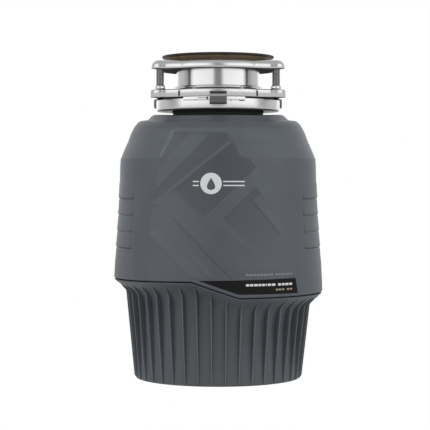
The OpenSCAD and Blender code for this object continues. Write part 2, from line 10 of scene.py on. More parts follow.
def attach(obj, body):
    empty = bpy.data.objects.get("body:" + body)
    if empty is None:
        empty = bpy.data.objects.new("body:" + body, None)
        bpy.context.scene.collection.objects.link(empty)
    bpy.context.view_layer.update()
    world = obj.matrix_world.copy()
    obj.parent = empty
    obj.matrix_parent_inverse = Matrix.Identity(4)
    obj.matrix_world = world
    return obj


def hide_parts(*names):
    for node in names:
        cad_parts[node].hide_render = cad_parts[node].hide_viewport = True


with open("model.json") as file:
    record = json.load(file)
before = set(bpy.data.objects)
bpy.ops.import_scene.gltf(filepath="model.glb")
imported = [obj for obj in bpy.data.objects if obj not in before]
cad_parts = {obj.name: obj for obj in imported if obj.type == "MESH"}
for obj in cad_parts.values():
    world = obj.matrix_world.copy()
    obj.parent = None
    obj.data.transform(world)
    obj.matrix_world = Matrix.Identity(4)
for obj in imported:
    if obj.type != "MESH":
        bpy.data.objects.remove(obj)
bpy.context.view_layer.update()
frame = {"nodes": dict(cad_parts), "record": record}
mm = 0.001
print("frame loaded:", len(frame["nodes"]), "nodes")

# The camera stands a little above the middle of the casing and looks very slightly down
view = {"distance": 1537.5, "eyeHeight": 196.3, "aimHeight": 165.4, "side": -3.1, "frameWidth": 440.75,
        "sensor": 36.0}


def linked(name, data):
    # a new object of that data in the scene
    thing = bpy.data.objects.new(name, data)
    bpy.context.collection.objects.link(thing)
    return thing


def addCamera():
    camera = linked("camera", bpy.data.cameras.new("camera"))
    eye = Vector((view["side"], -view["distance"], view["eyeHeight"])) * mm
    aim = Vector((view["side"], 0, view["aimHeight"])) * mm
    camera.location = eye
    camera.rotation_euler = (aim - eye).to_track_quat("-Z", "Y").to_euler()
    camera.data.sensor_width = view["sensor"]
    camera.data.lens = view["sensor"] * view["distance"] / view["frameWidth"]
    camera.data.clip_start = 0.05
    bpy.context.scene.camera = camera


addCamera()


# Meshes

def meshPiece(name, points, faces, material, sharpDeg=30):
    mesh = bpy.data.meshes.new(name)
    mesh.from_pydata([tuple(p) for p in points], [], faces)
    piece = linked(name, mesh)
    mesh.materials.append(material)
    closeAndTurnOut(piece, sharpDeg)
    return piece


def closeAndTurnOut(piece, sharpDeg=30, merge=True):
    # merges doubles, points the faces outwards and marks the crisp edges
    work = bmesh.new()
    work.from_mesh(piece.data)
    if merge:
        bmesh.ops.remove_doubles(work, verts=work.verts, dist=1e-6)
    bmesh.ops.recalc_face_normals(work, faces=work.faces)
    work.to_mesh(piece.data)
    work.free()
    shadeSmooth(piece.data, sharpDeg)


def shadeSmooth(mesh, sharpDeg):
    mesh.polygons.foreach_set("use_smooth", [True] * len(mesh.polygons))
    mesh.set_sharp_from_angle(angle=math.radians(sharpDeg))
    mesh.update()


def setAttribute(mesh, name, values):
    attribute = mesh.attributes.get(name) or mesh.attributes.new(name, "FLOAT", "POINT")
    attribute.data.foreach_set("value", np.asarray(values, dtype=np.float32).reshape(-1))


def quadBands(rings, count, closed=False):
    # quads between rings of equal length; a closed run joins the last ring to the first
    faces = []
    for k in range(rings if closed else rings - 1):
        low, high = k * count, (k + 1) % rings * count
        for i in range(count):
            j = (i + 1) % count
            faces.append((low + i, low + j, high + j, high + i))
    return faces


def endCaps(rings, count):
    return [tuple(range(count)), tuple(range((rings - 1) * count, rings * count))]


def outlineNormals(outline):
    edge = np.roll(outline, -1, axis=0) - np.roll(outline, 1, axis=0)
    normal = np.stack([edge[:, 1], -edge[:, 0]], axis=1)
    return normal / np.maximum(np.linalg.norm(normal, axis=1, keepdims=True), 1e-9)


def joined(name, pieces, sharpDeg=30):
    # one piece out of several, keeping each one's material
    work = bmesh.new()
    materials = []
    tones = []
    for part in pieces:
        tone = np.zeros(len(part.data.vertices), dtype=np.float32)
        if "tone" in part.data.attributes:
            part.data.attributes["tone"].data.foreach_get("value", tone)
        tones.append(tone)
        start = len(work.faces)
        first = len(materials)
        materials += list(part.data.materials)
        work.from_mesh(part.data)
        work.faces.ensure_lookup_table()
        for face in work.faces[start:]:
            face.material_index += first
    mesh = bpy.data.meshes.new(name)
    work.to_mesh(mesh)
    work.free()
    slots = []
    for material in materials:
        if material not in slots:
            slots.append(material)
    lookup = [slots.index(material) for material in materials]
    indices = np.zeros(len(mesh.polygons), dtype=np.int32)
    mesh.polygons.foreach_get("material_index", indices)
    for material in slots:
        mesh.materials.append(material)
    mesh.polygons.foreach_set("material_index", np.array(lookup)[indices])
    tones = np.concatenate(tones)
    if tones.any():
        setAttribute(mesh, "tone", tones)
    piece = linked(name, mesh)
    for part in pieces:
        bpy.data.objects.remove(part)
    shadeSmooth(mesh, sharpDeg)
    return piece


def filleted(corners, steps=5):
    # a closed outline: each corner is (a, b) or (a, b, radius), and a radius turns it into an arc
    out = []
    count = len(corners)
    for i, corner in enumerate(corners):
        here = np.array(corner[:2], dtype=float)
        radius = corner[2] if len(corner) > 2 else 0
        before = np.array(corners[i - 1][:2], dtype=float) - here
        after = np.array(corners[(i + 1) % count][:2], dtype=float) - here
        lengths = (np.linalg.norm(before), np.linalg.norm(after))
        if radius <= 0 or min(lengths) < 1e-9:
            out.append(here)
            continue
        before, after = before / lengths[0], after / lengths[1]
        half = math.acos(max(-1.0, min(1.0, float(before @ after)))) / 2
        reach = min(radius / math.tan(half), 0.49 * min(lengths))
        radius = reach * math.tan(half)
        middle = (before + after) / np.linalg.norm(before + after)
        centre = here + middle * radius / math.sin(half)
        start = here + before * reach - centre
        end = here + after * reach - centre
        sweep = math.pi - 2 * half
        for k in range(steps + 1):
            t = k / steps
            blend = (math.sin((1 - t) * sweep) * start + math.sin(t * sweep) * end) / math.sin(sweep)
            out.append(centre + blend)
    return out


def turned(name, corners, material, steps=128, sharpDeg=30, start=0.0, sweep=360.0, fillet=5):
    # a closed outline of (radius, height, fillet) in mm turned about Z
    outline = filleted(corners, fillet)
    full = abs(sweep - 360) < 1e-6
    columns = steps if full else steps + 1
    angles = [math.radians(start + sweep * i / steps) for i in range(columns)]
    points = [(r * math.cos(a) * mm, r * math.sin(a) * mm, z * mm) for a in angles for r, z in outline]
    count = len(outline)
    faces = []
    for i in range(steps):
        here, there = i * count, ((i + 1) % columns) * count
        for k in range(count):
            after = (k + 1) % count
            faces.append((here + k, there + k, there + after, here + after))
    if not full:
        faces += endCaps(columns, count)
    return meshPiece(name, points, faces, material, sharpDeg)


def prism(name, outline, low, high, material, bevel=0.0, sharpDeg=30):
    # an outline in mm pulled up from low to high, its top and bottom edges rounded over
    outline = np.array(outline, dtype=float)
    middle = outline.mean(axis=0)
    rings = [(low, 0.0), (high, 0.0)]
    if bevel > 0:
        arc = [(bevel * (1 - math.sin(math.radians(t))), bevel * (1 - math.cos(math.radians(t))))
               for t in (0, 22.5, 45, 67.5, 90)]
        rings = [(low + rise, inset) for rise, inset in reversed(arc)]
        rings += [(high - rise, inset) for rise, inset in arc]
    normal = outlineNormals(outline)
    if ((outline - middle) * normal).sum() < 0:
        normal = -normal
    points = []
    for z, inset in rings:
        points += [(p[0] * mm, p[1] * mm, z * mm) for p in outline - normal * inset]
    faces = quadBands(len(rings), len(outline)) + endCaps(len(rings), len(outline))
    return meshPiece(name, points, faces, material, sharpDeg)


def placed(piece, matrix):
    # moves a piece's points, so that its object stays at the origin
    piece.data.transform(matrix)
    return piece


def shift(x, y, z):
    return Matrix.Translation(Vector((x, y, z)) * mm)


def turnOn(axis, degrees):
    return Matrix.Rotation(math.radians(degrees), 4, axis)


def turnZ(degrees, offset=(0, 0, 0)):
    return turnOn("Z", degrees) @ shift(*offset)


def softenedCopy(name, node, material, width, segments=2, sharpDeg=30):
    # the frame's own shape with its edges eased
    piece = linked(name, frame["nodes"][node].data.copy())
    piece.data.materials.clear()
    piece.data.materials.append(material)
    if "custom_normal" in piece.data.attributes:
        piece.data.attributes.remove(piece.data.attributes["custom_normal"])
    work = bmesh.new()
    work.from_mesh(piece.data)
    bmesh.ops.remove_doubles(work, verts=work.verts, dist=1e-6)
    bmesh.ops.dissolve_limit(work, angle_limit=math.radians(1.0), verts=work.verts, edges=work.edges)
    work.to_mesh(piece.data)
    work.free()
    shadeSmooth(piece.data, sharpDeg)
    bevel = piece.modifiers.new("easedEdges", "BEVEL")
    bevel.width = width * mm
    bevel.segments = segments
    bevel.limit_method = "ANGLE"
    bevel.angle_limit = math.radians(sharpDeg)
    return piece


def evaluatedMesh(name, piece, sharpDeg=30):
    # turns a piece with live modifiers into a plain one
    depsgraph = bpy.context.evaluated_depsgraph_get()
    mesh = bpy.data.meshes.new_from_object(piece.evaluated_get(depsgraph))
    plain = linked(name, mesh)
    bpy.data.objects.remove(piece)
    shadeSmooth(mesh, sharpDeg)
    return plain


def cutAway(name, body, cutters):
    # a plain piece: the body with the cutters' shapes taken out of it
    for cutter in cutters:
        cut = body.modifiers.new("cut", "BOOLEAN")
        cut.operation = "DIFFERENCE"
        cut.solver = "EXACT"
        cut.object = cutter
    bpy.context.view_layer.update()
    shaped = evaluatedMesh(name, body)
    for cutter in cutters:
        bpy.data.objects.remove(cutter)
    return shaped


def finishPiece(piece, body, slot, *nodes):
    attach(piece, body)
    if nodes:
        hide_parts(*nodes)
    return piece


# Shader groups that several finishes share

def feed(tree, node, inputs):
    # sets each input, or links it to another node's output
    for label, value in inputs.items():
        if isinstance(value, bpy.types.NodeSocket):
            tree.links.new(value, node.inputs[label])
        else:
            node.inputs[label].default_value = value
    return node


def addNode(tree, kind, inputs=None, **settings):
    node = tree.nodes.new(kind)
    for setting, value in settings.items():
        setattr(node, setting, value)
    return feed(tree, node, inputs or {})


def newGroup(name, inputs, outputs):
    group = bpy.data.node_groups.new(name, "ShaderNodeTree")
    for label, value in inputs.items():
        socket = group.interface.new_socket(name=label, in_out="INPUT", socket_type="NodeSocketFloat")
        socket.default_value = value
    for label in outputs:
        group.interface.new_socket(name=label, in_out="OUTPUT", socket_type="NodeSocketFloat")
    return group, group.nodes.new("NodeGroupInput").outputs, group.nodes.new("NodeGroupOutput")


def mathNode(tree, operation, first, second=None, clamp=False):
    values = {0: first} if second is None else {0: first, 1: second}
    return addNode(tree, "ShaderNodeMath", values, operation=operation, use_clamp=clamp).outputs[0]


def noiseNode(tree, vector, scale, detail=3.0, roughness=0.5):
    return addNode(tree, "ShaderNodeTexNoise", {
        "Detail": detail, "Roughness": roughness, "Scale": scale, "Vector": vector}).outputs["Fac"]


def objectPlace(tree):
    return tree.nodes.new("ShaderNodeTexCoord").outputs["Object"]


def buildMouldedGrain():
    # fine spark-eroded texture: a height for the bump and a slow mottle, both about 0.5
    group, source, sink = newGroup("mouldedGrain", {"Grain Scale": 1800.0, "Mottle Scale": 28.0},
                                   ("Height", "Mottle"))
    place = objectPlace(group)
    fine = noiseNode(group, place, source["Grain Scale"], 2.0, 0.6)
    slow = noiseNode(group, place, source["Mottle Scale"], 4.0, 0.55)
    pits = addNode(group, "ShaderNodeTexVoronoi", {"Vector": place, "Scale": source["Grain Scale"]})
    height = mathNode(group, "ADD", mathNode(group, "MULTIPLY", fine, 0.6),
                      mathNode(group, "MULTIPLY", pits.outputs["Distance"], 0.4))
    feed(group, sink, {"Height": height, "Mottle": slow})
    return group


def buildBrushedLines():
    # lines that run round Z, as on turned or rolled steel, with faint cloudy stains
    group, source, sink = newGroup("brushedLines",
                                   {"Line Scale": 900.0, "Stretch": 0.03, "Stain Scale": 40.0},
                                   ("Lines", "Stain"))
    place = objectPlace(group)
    x, y, z = addNode(group, "ShaderNodeSeparateXYZ", {0: place}).outputs
    across = mathNode(group, "ADD", mathNode(group, "MULTIPLY", x, x), mathNode(group, "MULTIPLY", y, y))
    around = mathNode(group, "MULTIPLY", mathNode(group, "ARCTAN2", y, x), source["Stretch"])
    rolled = addNode(group, "ShaderNodeCombineXYZ", {0: mathNode(group, "SQRT", across), 1: around, 2: z})
    feed(group, sink, {"Lines": noiseNode(group, rolled.outputs[0], source["Line Scale"], 2.0, 0.7),
                       "Stain": noiseNode(group, place, source["Stain Scale"], 4.0, 0.6)})
    return group


def buildSettledDust():
    # a little dust on what faces up, thinned with noise
    group, source, sink = newGroup("settledDust", {"Amount": 0.3, "Patch Scale": 60.0}, ("Mask",))
    normal = group.nodes.new("ShaderNodeNewGeometry").outputs["Normal"]
    upward = mathNode(group, "MAXIMUM", addNode(group, "ShaderNodeSeparateXYZ", {0: normal}).outputs[2], 0.0)
    patches = noiseNode(group, objectPlace(group), source["Patch Scale"], 5.0, 0.6)
    feed(group, sink, {"Mask": mathNode(group, "MULTIPLY", mathNode(group, "MULTIPLY", upward, patches),
                                        source["Amount"], clamp=True)})
    return group


mouldedGrain = buildMouldedGrain()
brushedLines = buildBrushedLines()
settledDust = buildSettledDust()


# Finishes

def newFinish(name):
    material = bpy.data.materials.new(name)
    material.use_nodes = True
    tree = material.node_tree
    return material, tree, tree.nodes["Principled BSDF"]


def groupNode(tree, group, inputs):
    return addNode(tree, "ShaderNodeGroup", inputs, node_tree=group).outputs


def rampBetween(tree, factor, low, high, lowAt=0.3, highAt=0.7):
    ramp = addNode(tree, "ShaderNodeValToRGB", {0: factor})
    for stop, place, colour in zip(ramp.color_ramp.elements, (lowAt, highAt), (low, high)):
        stop.position = place
        stop.color = (*colour, 1)
    return ramp.outputs[0]


def rangeNode(tree, value, low, high, fromLow=0.25, fromHigh=0.75):
    return addNode(tree, "ShaderNodeMapRange", {
        "From Min": fromLow, "From Max": fromHigh, "To Min": low, "To Max": high, "Value": value}).outputs[0]


def mixColours(tree, factor, first, second, blend="MIX"):
    return addNode(tree, "ShaderNodeMix", {0: factor, 6: first, 7: second},
                   data_type="RGBA", blend_type=blend).outputs[2]


def finishSurface(tree, shader, height, depth, inputs):
    # the shader's inputs, with a height of that depth in mm as its bump
    bump = addNode(tree, "ShaderNodeBump", {"Distance": depth * mm, "Strength": 1.0, "Height": height})
    feed(tree, shader, {**inputs, "Normal": bump.outputs[0]})


def mouldedFinish(name, colour, roughness, grain=1500.0, depth=0.03, mottle=0.08, spread=28.0, toned=False,
                  dust=0.0, coat=0.0):
    # moulded plastic or rubber: fine texture, a slow mottle and, where toned, the mesh's tone attribute,
    # which carries painted light and shade, and its warmth
    material, tree, shader = newFinish(name)
    grained = groupNode(tree, mouldedGrain, {"Grain Scale": grain, "Mottle Scale": spread})
    tint = rampBetween(tree, grained["Mottle"], [c * (1 - mottle) for c in colour],
                       [c * (1 + mottle) for c in colour])
    if toned:
        # the tone attribute is painted light and shade that scales the colour
        tone = addNode(tree, "ShaderNodeAttribute", attribute_name="tone").outputs["Fac"]
        warmth = addNode(tree, "ShaderNodeAttribute", attribute_name="warmth").outputs["Fac"]
        gain = mathNode(tree, "ADD", mathNode(tree, "MULTIPLY", tone, 0.3), 1.0)
        scaled = addNode(tree, "ShaderNodeVectorMath", {0: tint, "Scale": gain}, operation="SCALE")
        tint = mixColours(tree, warmth, scaled.outputs[0], (1.07, 1.08, 1.03, 1), "MULTIPLY")
    if dust > 0:
        dusty = groupNode(tree, settledDust, {"Amount": dust})["Mask"]
        tint = mixColours(tree, dusty, tint, (0.35, 0.34, 0.33, 1))
    finishSurface(tree, shader, grained["Height"], depth, {
        "Base Color": tint, "Coat Weight": coat,
        "Roughness": rangeNode(tree, grained["Mottle"], roughness - 0.05, roughness + 0.05)})
    return material


def metalFinish(name, colour, roughness, lines=900.0, stretch=0.03, depth=0.004, stain=0.06,
                roughSpread=0.08):
    # plated, brushed or ground metal with its lines running round Z
    material, tree, shader = newFinish(name)
    brushed = groupNode(tree, brushedLines, {"Line Scale": lines, "Stretch": stretch})
    finishSurface(tree, shader, brushed["Lines"], depth, {
        "Base Color": rampBetween(tree, brushed["Stain"], [c * (1 - stain) for c in colour], colour),
        "Metallic": 1.0, "Roughness": rangeNode(tree, brushed["Lines"], roughness - roughSpread / 2,
                                                roughness + roughSpread / 2)})
    return material


def castFinish(name, colour, roughness, metallic=0.0):
    # sand-cast surface under thin paint, or bare when metallic
    material, tree, shader = newFinish(name)
    grained = groupNode(tree, mouldedGrain, {"Grain Scale": 420.0, "Mottle Scale": 60.0})
    finishSurface(tree, shader, grained["Height"], 0.12, {
        "Base Color": rampBetween(tree, grained["Mottle"], [c * 0.8 for c in colour],
                                  [c * 1.15 for c in colour]),
        "Metallic": metallic, "Roughness": rangeNode(tree, grained["Height"], roughness - 0.1,
                                                     roughness + 0.1)})
    return material


def stackedSheetFinish(name, colour, pitch):
    # edges of stamped sheets stacked along Z
    material, tree, shader = newFinish(name)
    wave = addNode(tree, "ShaderNodeTexWave", {
        "Scale": 1.0 / (pitch * mm * 3.2), "Distortion": 0.3, "Vector": objectPlace(tree)},
        bands_direction="Z")
    finishSurface(tree, shader, wave.outputs["Fac"], 0.08, {
        "Base Color": rampBetween(tree, wave.outputs["Fac"], [c * 0.55 for c in colour], colour, 0.1, 0.5),
        "Metallic": 0.8, "Roughness": 0.45})
    return material


def woundWireFinish(name, colour):
    # varnished wire, laid in coils round Z
    material, tree, shader = newFinish(name)
    wave = addNode(tree, "ShaderNodeTexWave", {
        "Scale": 260.0, "Distortion": 2.0, "Detail Scale": 2.0, "Vector": objectPlace(tree)},
        wave_type="RINGS", rings_direction="Z")
    finishSurface(tree, shader, wave.outputs["Fac"], 0.4, {
        "Base Color": rampBetween(tree, wave.outputs["Fac"], [c * 0.35 for c in colour], colour),
        "Metallic": 0.6, "Roughness": 0.3, "Coat Weight": 0.5})
    return material


def feltFinish(name, colour):
    # matted fibres
    material, tree, shader = newFinish(name)
    fibres = noiseNode(tree, objectPlace(tree), 500.0, 8.0, 0.7)
    finishSurface(tree, shader, fibres, 0.5, {
        "Base Color": rampBetween(tree, fibres, [c * 0.6 for c in colour], [c * 1.4 for c in colour]),
        "Roughness": 0.95, "Sheen Weight": 0.3})
    return material


def foamFinish(name, colour):
    # expanded beads pressed together
    material, tree, shader = newFinish(name)
    beads = addNode(tree, "ShaderNodeTexVoronoi", {"Scale": 260.0, "Vector": objectPlace(tree)},
                    feature="DISTANCE_TO_EDGE").outputs["Distance"]
    finishSurface(tree, shader, beads, 0.4, {
        "Base Color": rampBetween(tree, beads, [c * 0.7 for c in colour], colour, 0.0, 0.12),
        "Roughness": 0.9})
    return material


finishes = {
    # the casing and the base take the painted light and shade held in their mesh's tone
    "casing": mouldedFinish("casingGrey", (0.0765, 0.0875, 0.1045), 0.42, 1700, 0.018, 0.05, 22, True, 0.1),
    "base": mouldedFinish("baseGrey", (0.077, 0.0885, 0.099), 0.44, 1500, 0.02, 0.06, 30, True, 0.15),
    "plated": metalFinish("platedSteel", (0.88, 0.88, 0.88), 0.24, 700, 0.02, 0.0005, 0.05, 0.04),
    "screwSteel": metalFinish("screwSteel", (0.22, 0.22, 0.22), 0.3, 700, 0.02, 0.002),
    # dark steel laid where there is shade: painted shade
    "shadedSteel": metalFinish("shadeDarkSteel", (0.10, 0.10, 0.10), 0.5, 700, 0.02, 0.001),
    "earSteel": metalFinish("earSteel", (0.20, 0.20, 0.205), 0.42, 700, 0.02, 0.002),
    "stainless": metalFinish("stainlessSteel", (0.84, 0.84, 0.84), 0.16, 1200, 0.02, 0.0006, 0.05, 0.04),
    "ground": metalFinish("groundSteel", (0.56, 0.57, 0.58), 0.28, 1500, 0.02, 0.003),
    "castAluminium": castFinish("castAluminium", (0.62, 0.63, 0.64), 0.4, 1.0),
    "castFrame": castFinish("castFrame", (0.20, 0.205, 0.21), 0.5),
    "lamination": stackedSheetFinish("stackedLamination", (0.34, 0.35, 0.37), 0.5),
    "copper": woundWireFinish("woundCopper", (0.70, 0.28, 0.11)),
    "bronze": metalFinish("sinteredBronze", (0.60, 0.42, 0.20), 0.38, 800, 0.05, 0.01),
    "rubber": mouldedFinish("blackRubber", (0.016, 0.0155, 0.0155), 0.62, 900, 0.03, 0.15, 50),
    # the gasket's brown, painted much darker for the bead: painted shade under the sink flange's lip
    "gasketShaded": mouldedFinish("brownGasketShaded", (0.020, 0.013, 0.007), 0.5, 700, 0.05, 0.3, 120),
    "gasketTan": mouldedFinish("tanGasket", (0.145, 0.105, 0.060), 0.5, 700, 0.05, 0.3, 120),
    "blackPlastic": mouldedFinish("blackPlastic", (0.022, 0.022, 0.024), 0.42, 1300, 0.02, 0.1, 40),
    "housingPlastic": mouldedFinish("filledPlastic", (0.05, 0.052, 0.055), 0.55, 800, 0.05, 0.12, 60),
    "ivory": mouldedFinish("ivoryPlastic", (0.62, 0.58, 0.46), 0.4, 1300, 0.02, 0.05, 40),
    "red": mouldedFinish("redButton", (0.52, 0.02, 0.015), 0.32, 1300, 0.01, 0.05, 40, coat=0.2),
    "wire": mouldedFinish("wireInsulation", (0.62, 0.62, 0.60), 0.45, 1300, 0.01, 0.05, 40),
    "greenScrew": metalFinish("greenPlating", (0.08, 0.42, 0.16), 0.32, 700, 0.03, 0.003),
    "coverPaint": mouldedFinish("coverPaint", (0.055, 0.058, 0.06), 0.5, 500, 0.05, 0.1, 60),
    "blanket": feltFinish("motorFelt", (0.05, 0.05, 0.054)),
    "foam": foamFinish("beadFoam", (0.11, 0.125, 0.14)),
    "label": mouldedFinish("labelBlack", (0.005, 0.0046, 0.0044), 0.5, 2600, 0.004, 0.15, 60),
    "printLight": mouldedFinish("printLight", (0.70, 0.72, 0.73), 0.42, 2600, 0.004, 0.04, 60),
    "printGrey": mouldedFinish("printGrey", (0.20, 0.215, 0.23), 0.45, 2600, 0.004, 0.04, 60),
    "printDark": mouldedFinish("printDark", (0.075, 0.085, 0.098), 0.45, 2600, 0.004, 0.04, 60),
    "casingPlain": mouldedFinish("casingGreyPlain", (0.079, 0.0915, 0.106), 0.46, 1700, 0.018, 0.05, 22),
    "printTan": mouldedFinish("printTan", (0.34, 0.28, 0.19), 0.42, 2600, 0.004, 0.05, 60),
}
finishes["label"].node_tree.nodes["Principled BSDF"].inputs["Specular IOR Level"].default_value = 0.2
print("finishes built:", len(finishes))


# Casing: the upper shell

casing = {
    "creaseZ": 222.4, "bandZ": 126.0,
    "padTop": 246.0, "padTopX": (-41.0, 8.0), "padFootX": (-57.0, 25.0), "padEdge": 3.0,
    "gripTop": 199.5, "gripFoot": 110.0, "gripPitch": 16.4, "gripFirst": 182.6, "gripDepth": 0.8,
    "gripAngle": 46.0, "grooveAngle": 56.0, "deckDip": 2.6, "reliefDepth": 0.45, "frontStep": 0.42,
    "backStep": 1.6,
}
seamCorners = [(-112.0, 102.0), (-26.0, 103.2), (20.0, 87.6), (112.0, 88.0)]

# shoulder and wall, from the neck hole down to where the rows start to follow the seam
shoulderCorners = [
    (48.0, 267.5), (63.5, 267.5), (66.4, 267.2), (68.2, 266.0), (70.6, 263.4), (72.6, 262.0), (76.5, 261.4),
    (79.6, 261.1), (82.0, 259.6), (84.6, 256.6), (86.9, 252.7), (88.9, 248.6), (91.9, 240.4), (95.7, 232.0),
    (99.6, 222.4), (100.0, 217.0), (100.3, 205.5), (100.6, 191.2), (101.1, 172.7), (102.2, 156.3),
    (103.3, 139.9), (104.2, 126.0), (105.5, 115.3), (106.3, 103.0), (106.8, 88.0), (106.8, 80.0),
]


def seamHeight(x):
    return np.interp(x, [c[0] for c in seamCorners], [c[1] for c in seamCorners])


def smoothStep(value, low, high):
    t = np.clip((value - low) / (high - low), 0, 1)
    return t * t * (3 - 2 * t)


def wallRadius(z):
    corners = [c for c in shoulderCorners if c[1] <= 262.5][::-1]
    return np.interp(z, [c[1] for c in corners], [c[0] for c in corners])


def insideMask(x, z, corners, softness):
    # 1 inside a convex outline in the front view, falling to 0 over the softness
    mask = np.ones_like(x) * 1e9
    count = len(corners)
    area = sum(corners[i][0] * corners[(i + 1) % count][1] - corners[(i + 1) % count][0] * corners[i][1]
               for i in range(count))
    side = 1 if area > 0 else -1
    for i in range(count):
        (ax, az), (bx, bz) = corners[i], corners[(i + 1) % count]
        length = math.hypot(bx - ax, bz - az)
        mask = np.minimum(mask, side * ((bx - ax) * (z - az) - (bz - az) * (x - ax)) / length)
    return smoothStep(mask, -softness / 2, softness / 2)


# facets of the front, raised in relief and painted lighter or darker as painted light and shade: outline in
# the front view, tone at its first corner, tone at its far corner, relief
facets = [
    ([(-27, 245), (-8, 245), (-61, 190), (-60, 210)], 0.55, 0.35, 0.5),
    ([(-8, 245), (9, 245), (10, 238), (-63, 179), (-61, 190)], -0.45, -0.1, -0.3),
    ([(14, 238), (36, 213), (-12, 165), (-41, 191)], -0.85, -0.35, -0.9),
    ([(36, 213), (36, 193), (3, 163), (-13, 165)], 0.3, 0.3, 0.4),
    ([(3, 163), (-13, 165), (30, 132), (27, 137)], 0.3, 0.0, 0.4),
    ([(36, 213), (36, 193), (66, 152), (71, 155)], 0.25, -0.1, 0.4),
    ([(36, 193), (4, 163), (38, 130), (66, 152)], -0.6, 0.0, -0.7),
    ([(40, 187), (34, 180), (60, 148), (66, 152)], 0.3, 0.05, 0.3),
    ([(-43, 190), (-62, 179), (12, 107), (30, 107)], 0.5, -0.15, 0.2),
    ([(-63, 174), (-67, 148), (-27, 107), (-3, 107), (-45, 163), (-58, 175)], 0.85, 0.35, 0.7),
    ([(-63, 174), (-56, 176), (-45, 164), (-66, 149)], 0.4, 0.2, 0.2),
]
# ridges: outline, painted highlight or shade, relief
ridges = [
    ([(10, 238), (11, 236), (-63, 177), (-63, 179)], 0.8, 0.4),
    ([(-45, 165), (-43, 164), (13, 106), (11, 106)], -1.0, -0.6),
    ([(-56, 156), (-55, 155), (-9, 106), (-10.5, 106)], -0.5, -0.3),
]

# bluish field of the front; the shoulders and the grips beside it are a little greener
panelCorners = [(-41.0, 268.0), (8.0, 268.0), (27.0, 222.0), (80.0, 221.0), (84.0, 80.0), (-84.0, 80.0),
                (-82.0, 221.0), (-57.0, 222.0)]

# painted highlights along the edges round the front field: outline, tone
bevelHighlights = [
    ([(-45.5, 251.3), (9.0, 251.3), (11.5, 245.7), (-43.0, 245.7)], 1.0),
    ([(-45.5, 251.3), (-43.0, 245.7), (-54.8, 223.5), (-57.8, 223.5)], 1.7),
    ([(8.6, 250.5), (11.6, 250.5), (24.8, 223.5), (21.6, 223.5)], 0.9),
]


def paintedBevelLight(x, z, facing):
    # painted highlights: a light edge round the front field, and the shoulders above the crease painted
    # lighter
    tone = 0.5 * smoothStep(z, casing["creaseZ"] - 0.3, casing["creaseZ"] + 0.3) * (1 - padMask(x, z))
    for corners, shade in bevelHighlights:
        mask = insideMask(x, z, corners, 0.9)
        tone = tone * (1 - mask) + mask * shade
    return tone * smoothStep(facing, -0.1, 0.2)


def frontFacets(x, z, facing):
    # the tones are painted light and shade on the facets; the relief is real
    tone = np.zeros_like(x)
    relief = np.zeros_like(x)
    for corners, near, far, height in facets:
        mask = insideMask(x, z, corners, 0.9)
        run = np.array(corners[-2]) - np.array(corners[0])
        along = ((x - corners[0][0]) * run[0] + (z - corners[0][1]) * run[1]) / float(run @ run)
        tone = tone * (1 - mask) + mask * (near + (far - near) * np.clip(along, 0, 1))
        relief = relief * (1 - mask) + mask * height
    for corners, shade, height in ridges:
        mask = insideMask(x, z, corners, 0.8)
        tone = tone * (1 - mask) + mask * shade
        relief = relief + mask * height
    fade = smoothStep(facing, 0.0, 0.2)
    return tone * fade, relief * fade * casing["reliefDepth"]


def padMask(x, z):
    (topLeft, topRight), (footLeft, footRight) = casing["padTopX"], casing["padFootX"]
    foot = casing["creaseZ"] - 6
    spread = (casing["padTop"] - foot) / (casing["padTop"] - casing["creaseZ"])
    corners = [(topLeft, casing["padTop"]), (topRight, casing["padTop"]),
               (topRight + (footRight - topRight) * spread, foot),
               (topLeft + (footLeft - topLeft) * spread, foot)]
    return insideMask(x, z, corners, casing["padEdge"])


def gripRelief(angle, z):
    # overlapping scales on both sides, each ending in a groove with a dimple at its front end; it also
    # returns painted shade for the grooves and dimples
    fromFront = np.abs((angle + 90 + 180) % 360 - 180)
    side = smoothStep(fromFront, casing["gripAngle"], casing["gripAngle"] + 3.0)
    side *= smoothStep(-fromFront, -(180 - casing["gripAngle"]), -(180 - casing["gripAngle"] - 3.0))
    upper = smoothStep(-z, -casing["gripTop"], -casing["gripTop"] + 2.0)
    lower = smoothStep(z, casing["gripFoot"], casing["gripFoot"] + 14.0)
    pad = side * upper * lower * casing["gripDepth"] * 0.55
    phase = (casing["gripFirst"] + casing["gripPitch"] - z) / casing["gripPitch"]
    inRun = smoothStep(-z, -casing["gripTop"] + 2, -casing["gripTop"] + 6)
    inRun *= smoothStep(z, casing["gripFirst"] - 3 * casing["gripPitch"] - 4,
                        casing["gripFirst"] - 3 * casing["gripPitch"])
    grooved = smoothStep(fromFront, casing["grooveAngle"] - 0.6, casing["grooveAngle"] + 0.6)
    grooved *= smoothStep(-fromFront, -(180 - casing["grooveAngle"]) - 0.6,
                          -(180 - casing["grooveAngle"]) + 0.6)
    scale = (phase % 1.0) ** 2 * grooved * inRun * casing["gripDepth"]
    depth = np.zeros_like(z)
    for k in range(4):
        groove = casing["gripFirst"] - k * casing["gripPitch"]
        cut = np.exp(-((z - groove) / 0.75) ** 2) * grooved
        dimple = np.exp(-((z - groove) / 1.3) ** 2 - ((fromFront - casing["grooveAngle"]) / 0.9) ** 2)
        dimple += np.exp(-((z - groove) / 1.3) ** 2 - ((fromFront - 180 + casing["grooveAngle"]) / 0.9) ** 2)
        depth += 0.9 * np.clip(cut + 1.2 * dimple, 0, 1.2)
    # painted shade in the grooves and dimples
    shade = -0.7 * np.clip(depth / 0.9, 0, 1)
    return pad + scale * 0.7 - depth, shade


def shellAngles():
    # close columns on the front and the sides, wider ones behind
    angles = []
    angle = -90.0
    while angle < 89.9:
        angles.append(angle)
        angle += casing["frontStep"] if abs(angle) < 72 else 0.9
    angles += list(np.arange(90.0, 269.9, casing["backStep"]))
    return np.array(angles) - 90.0


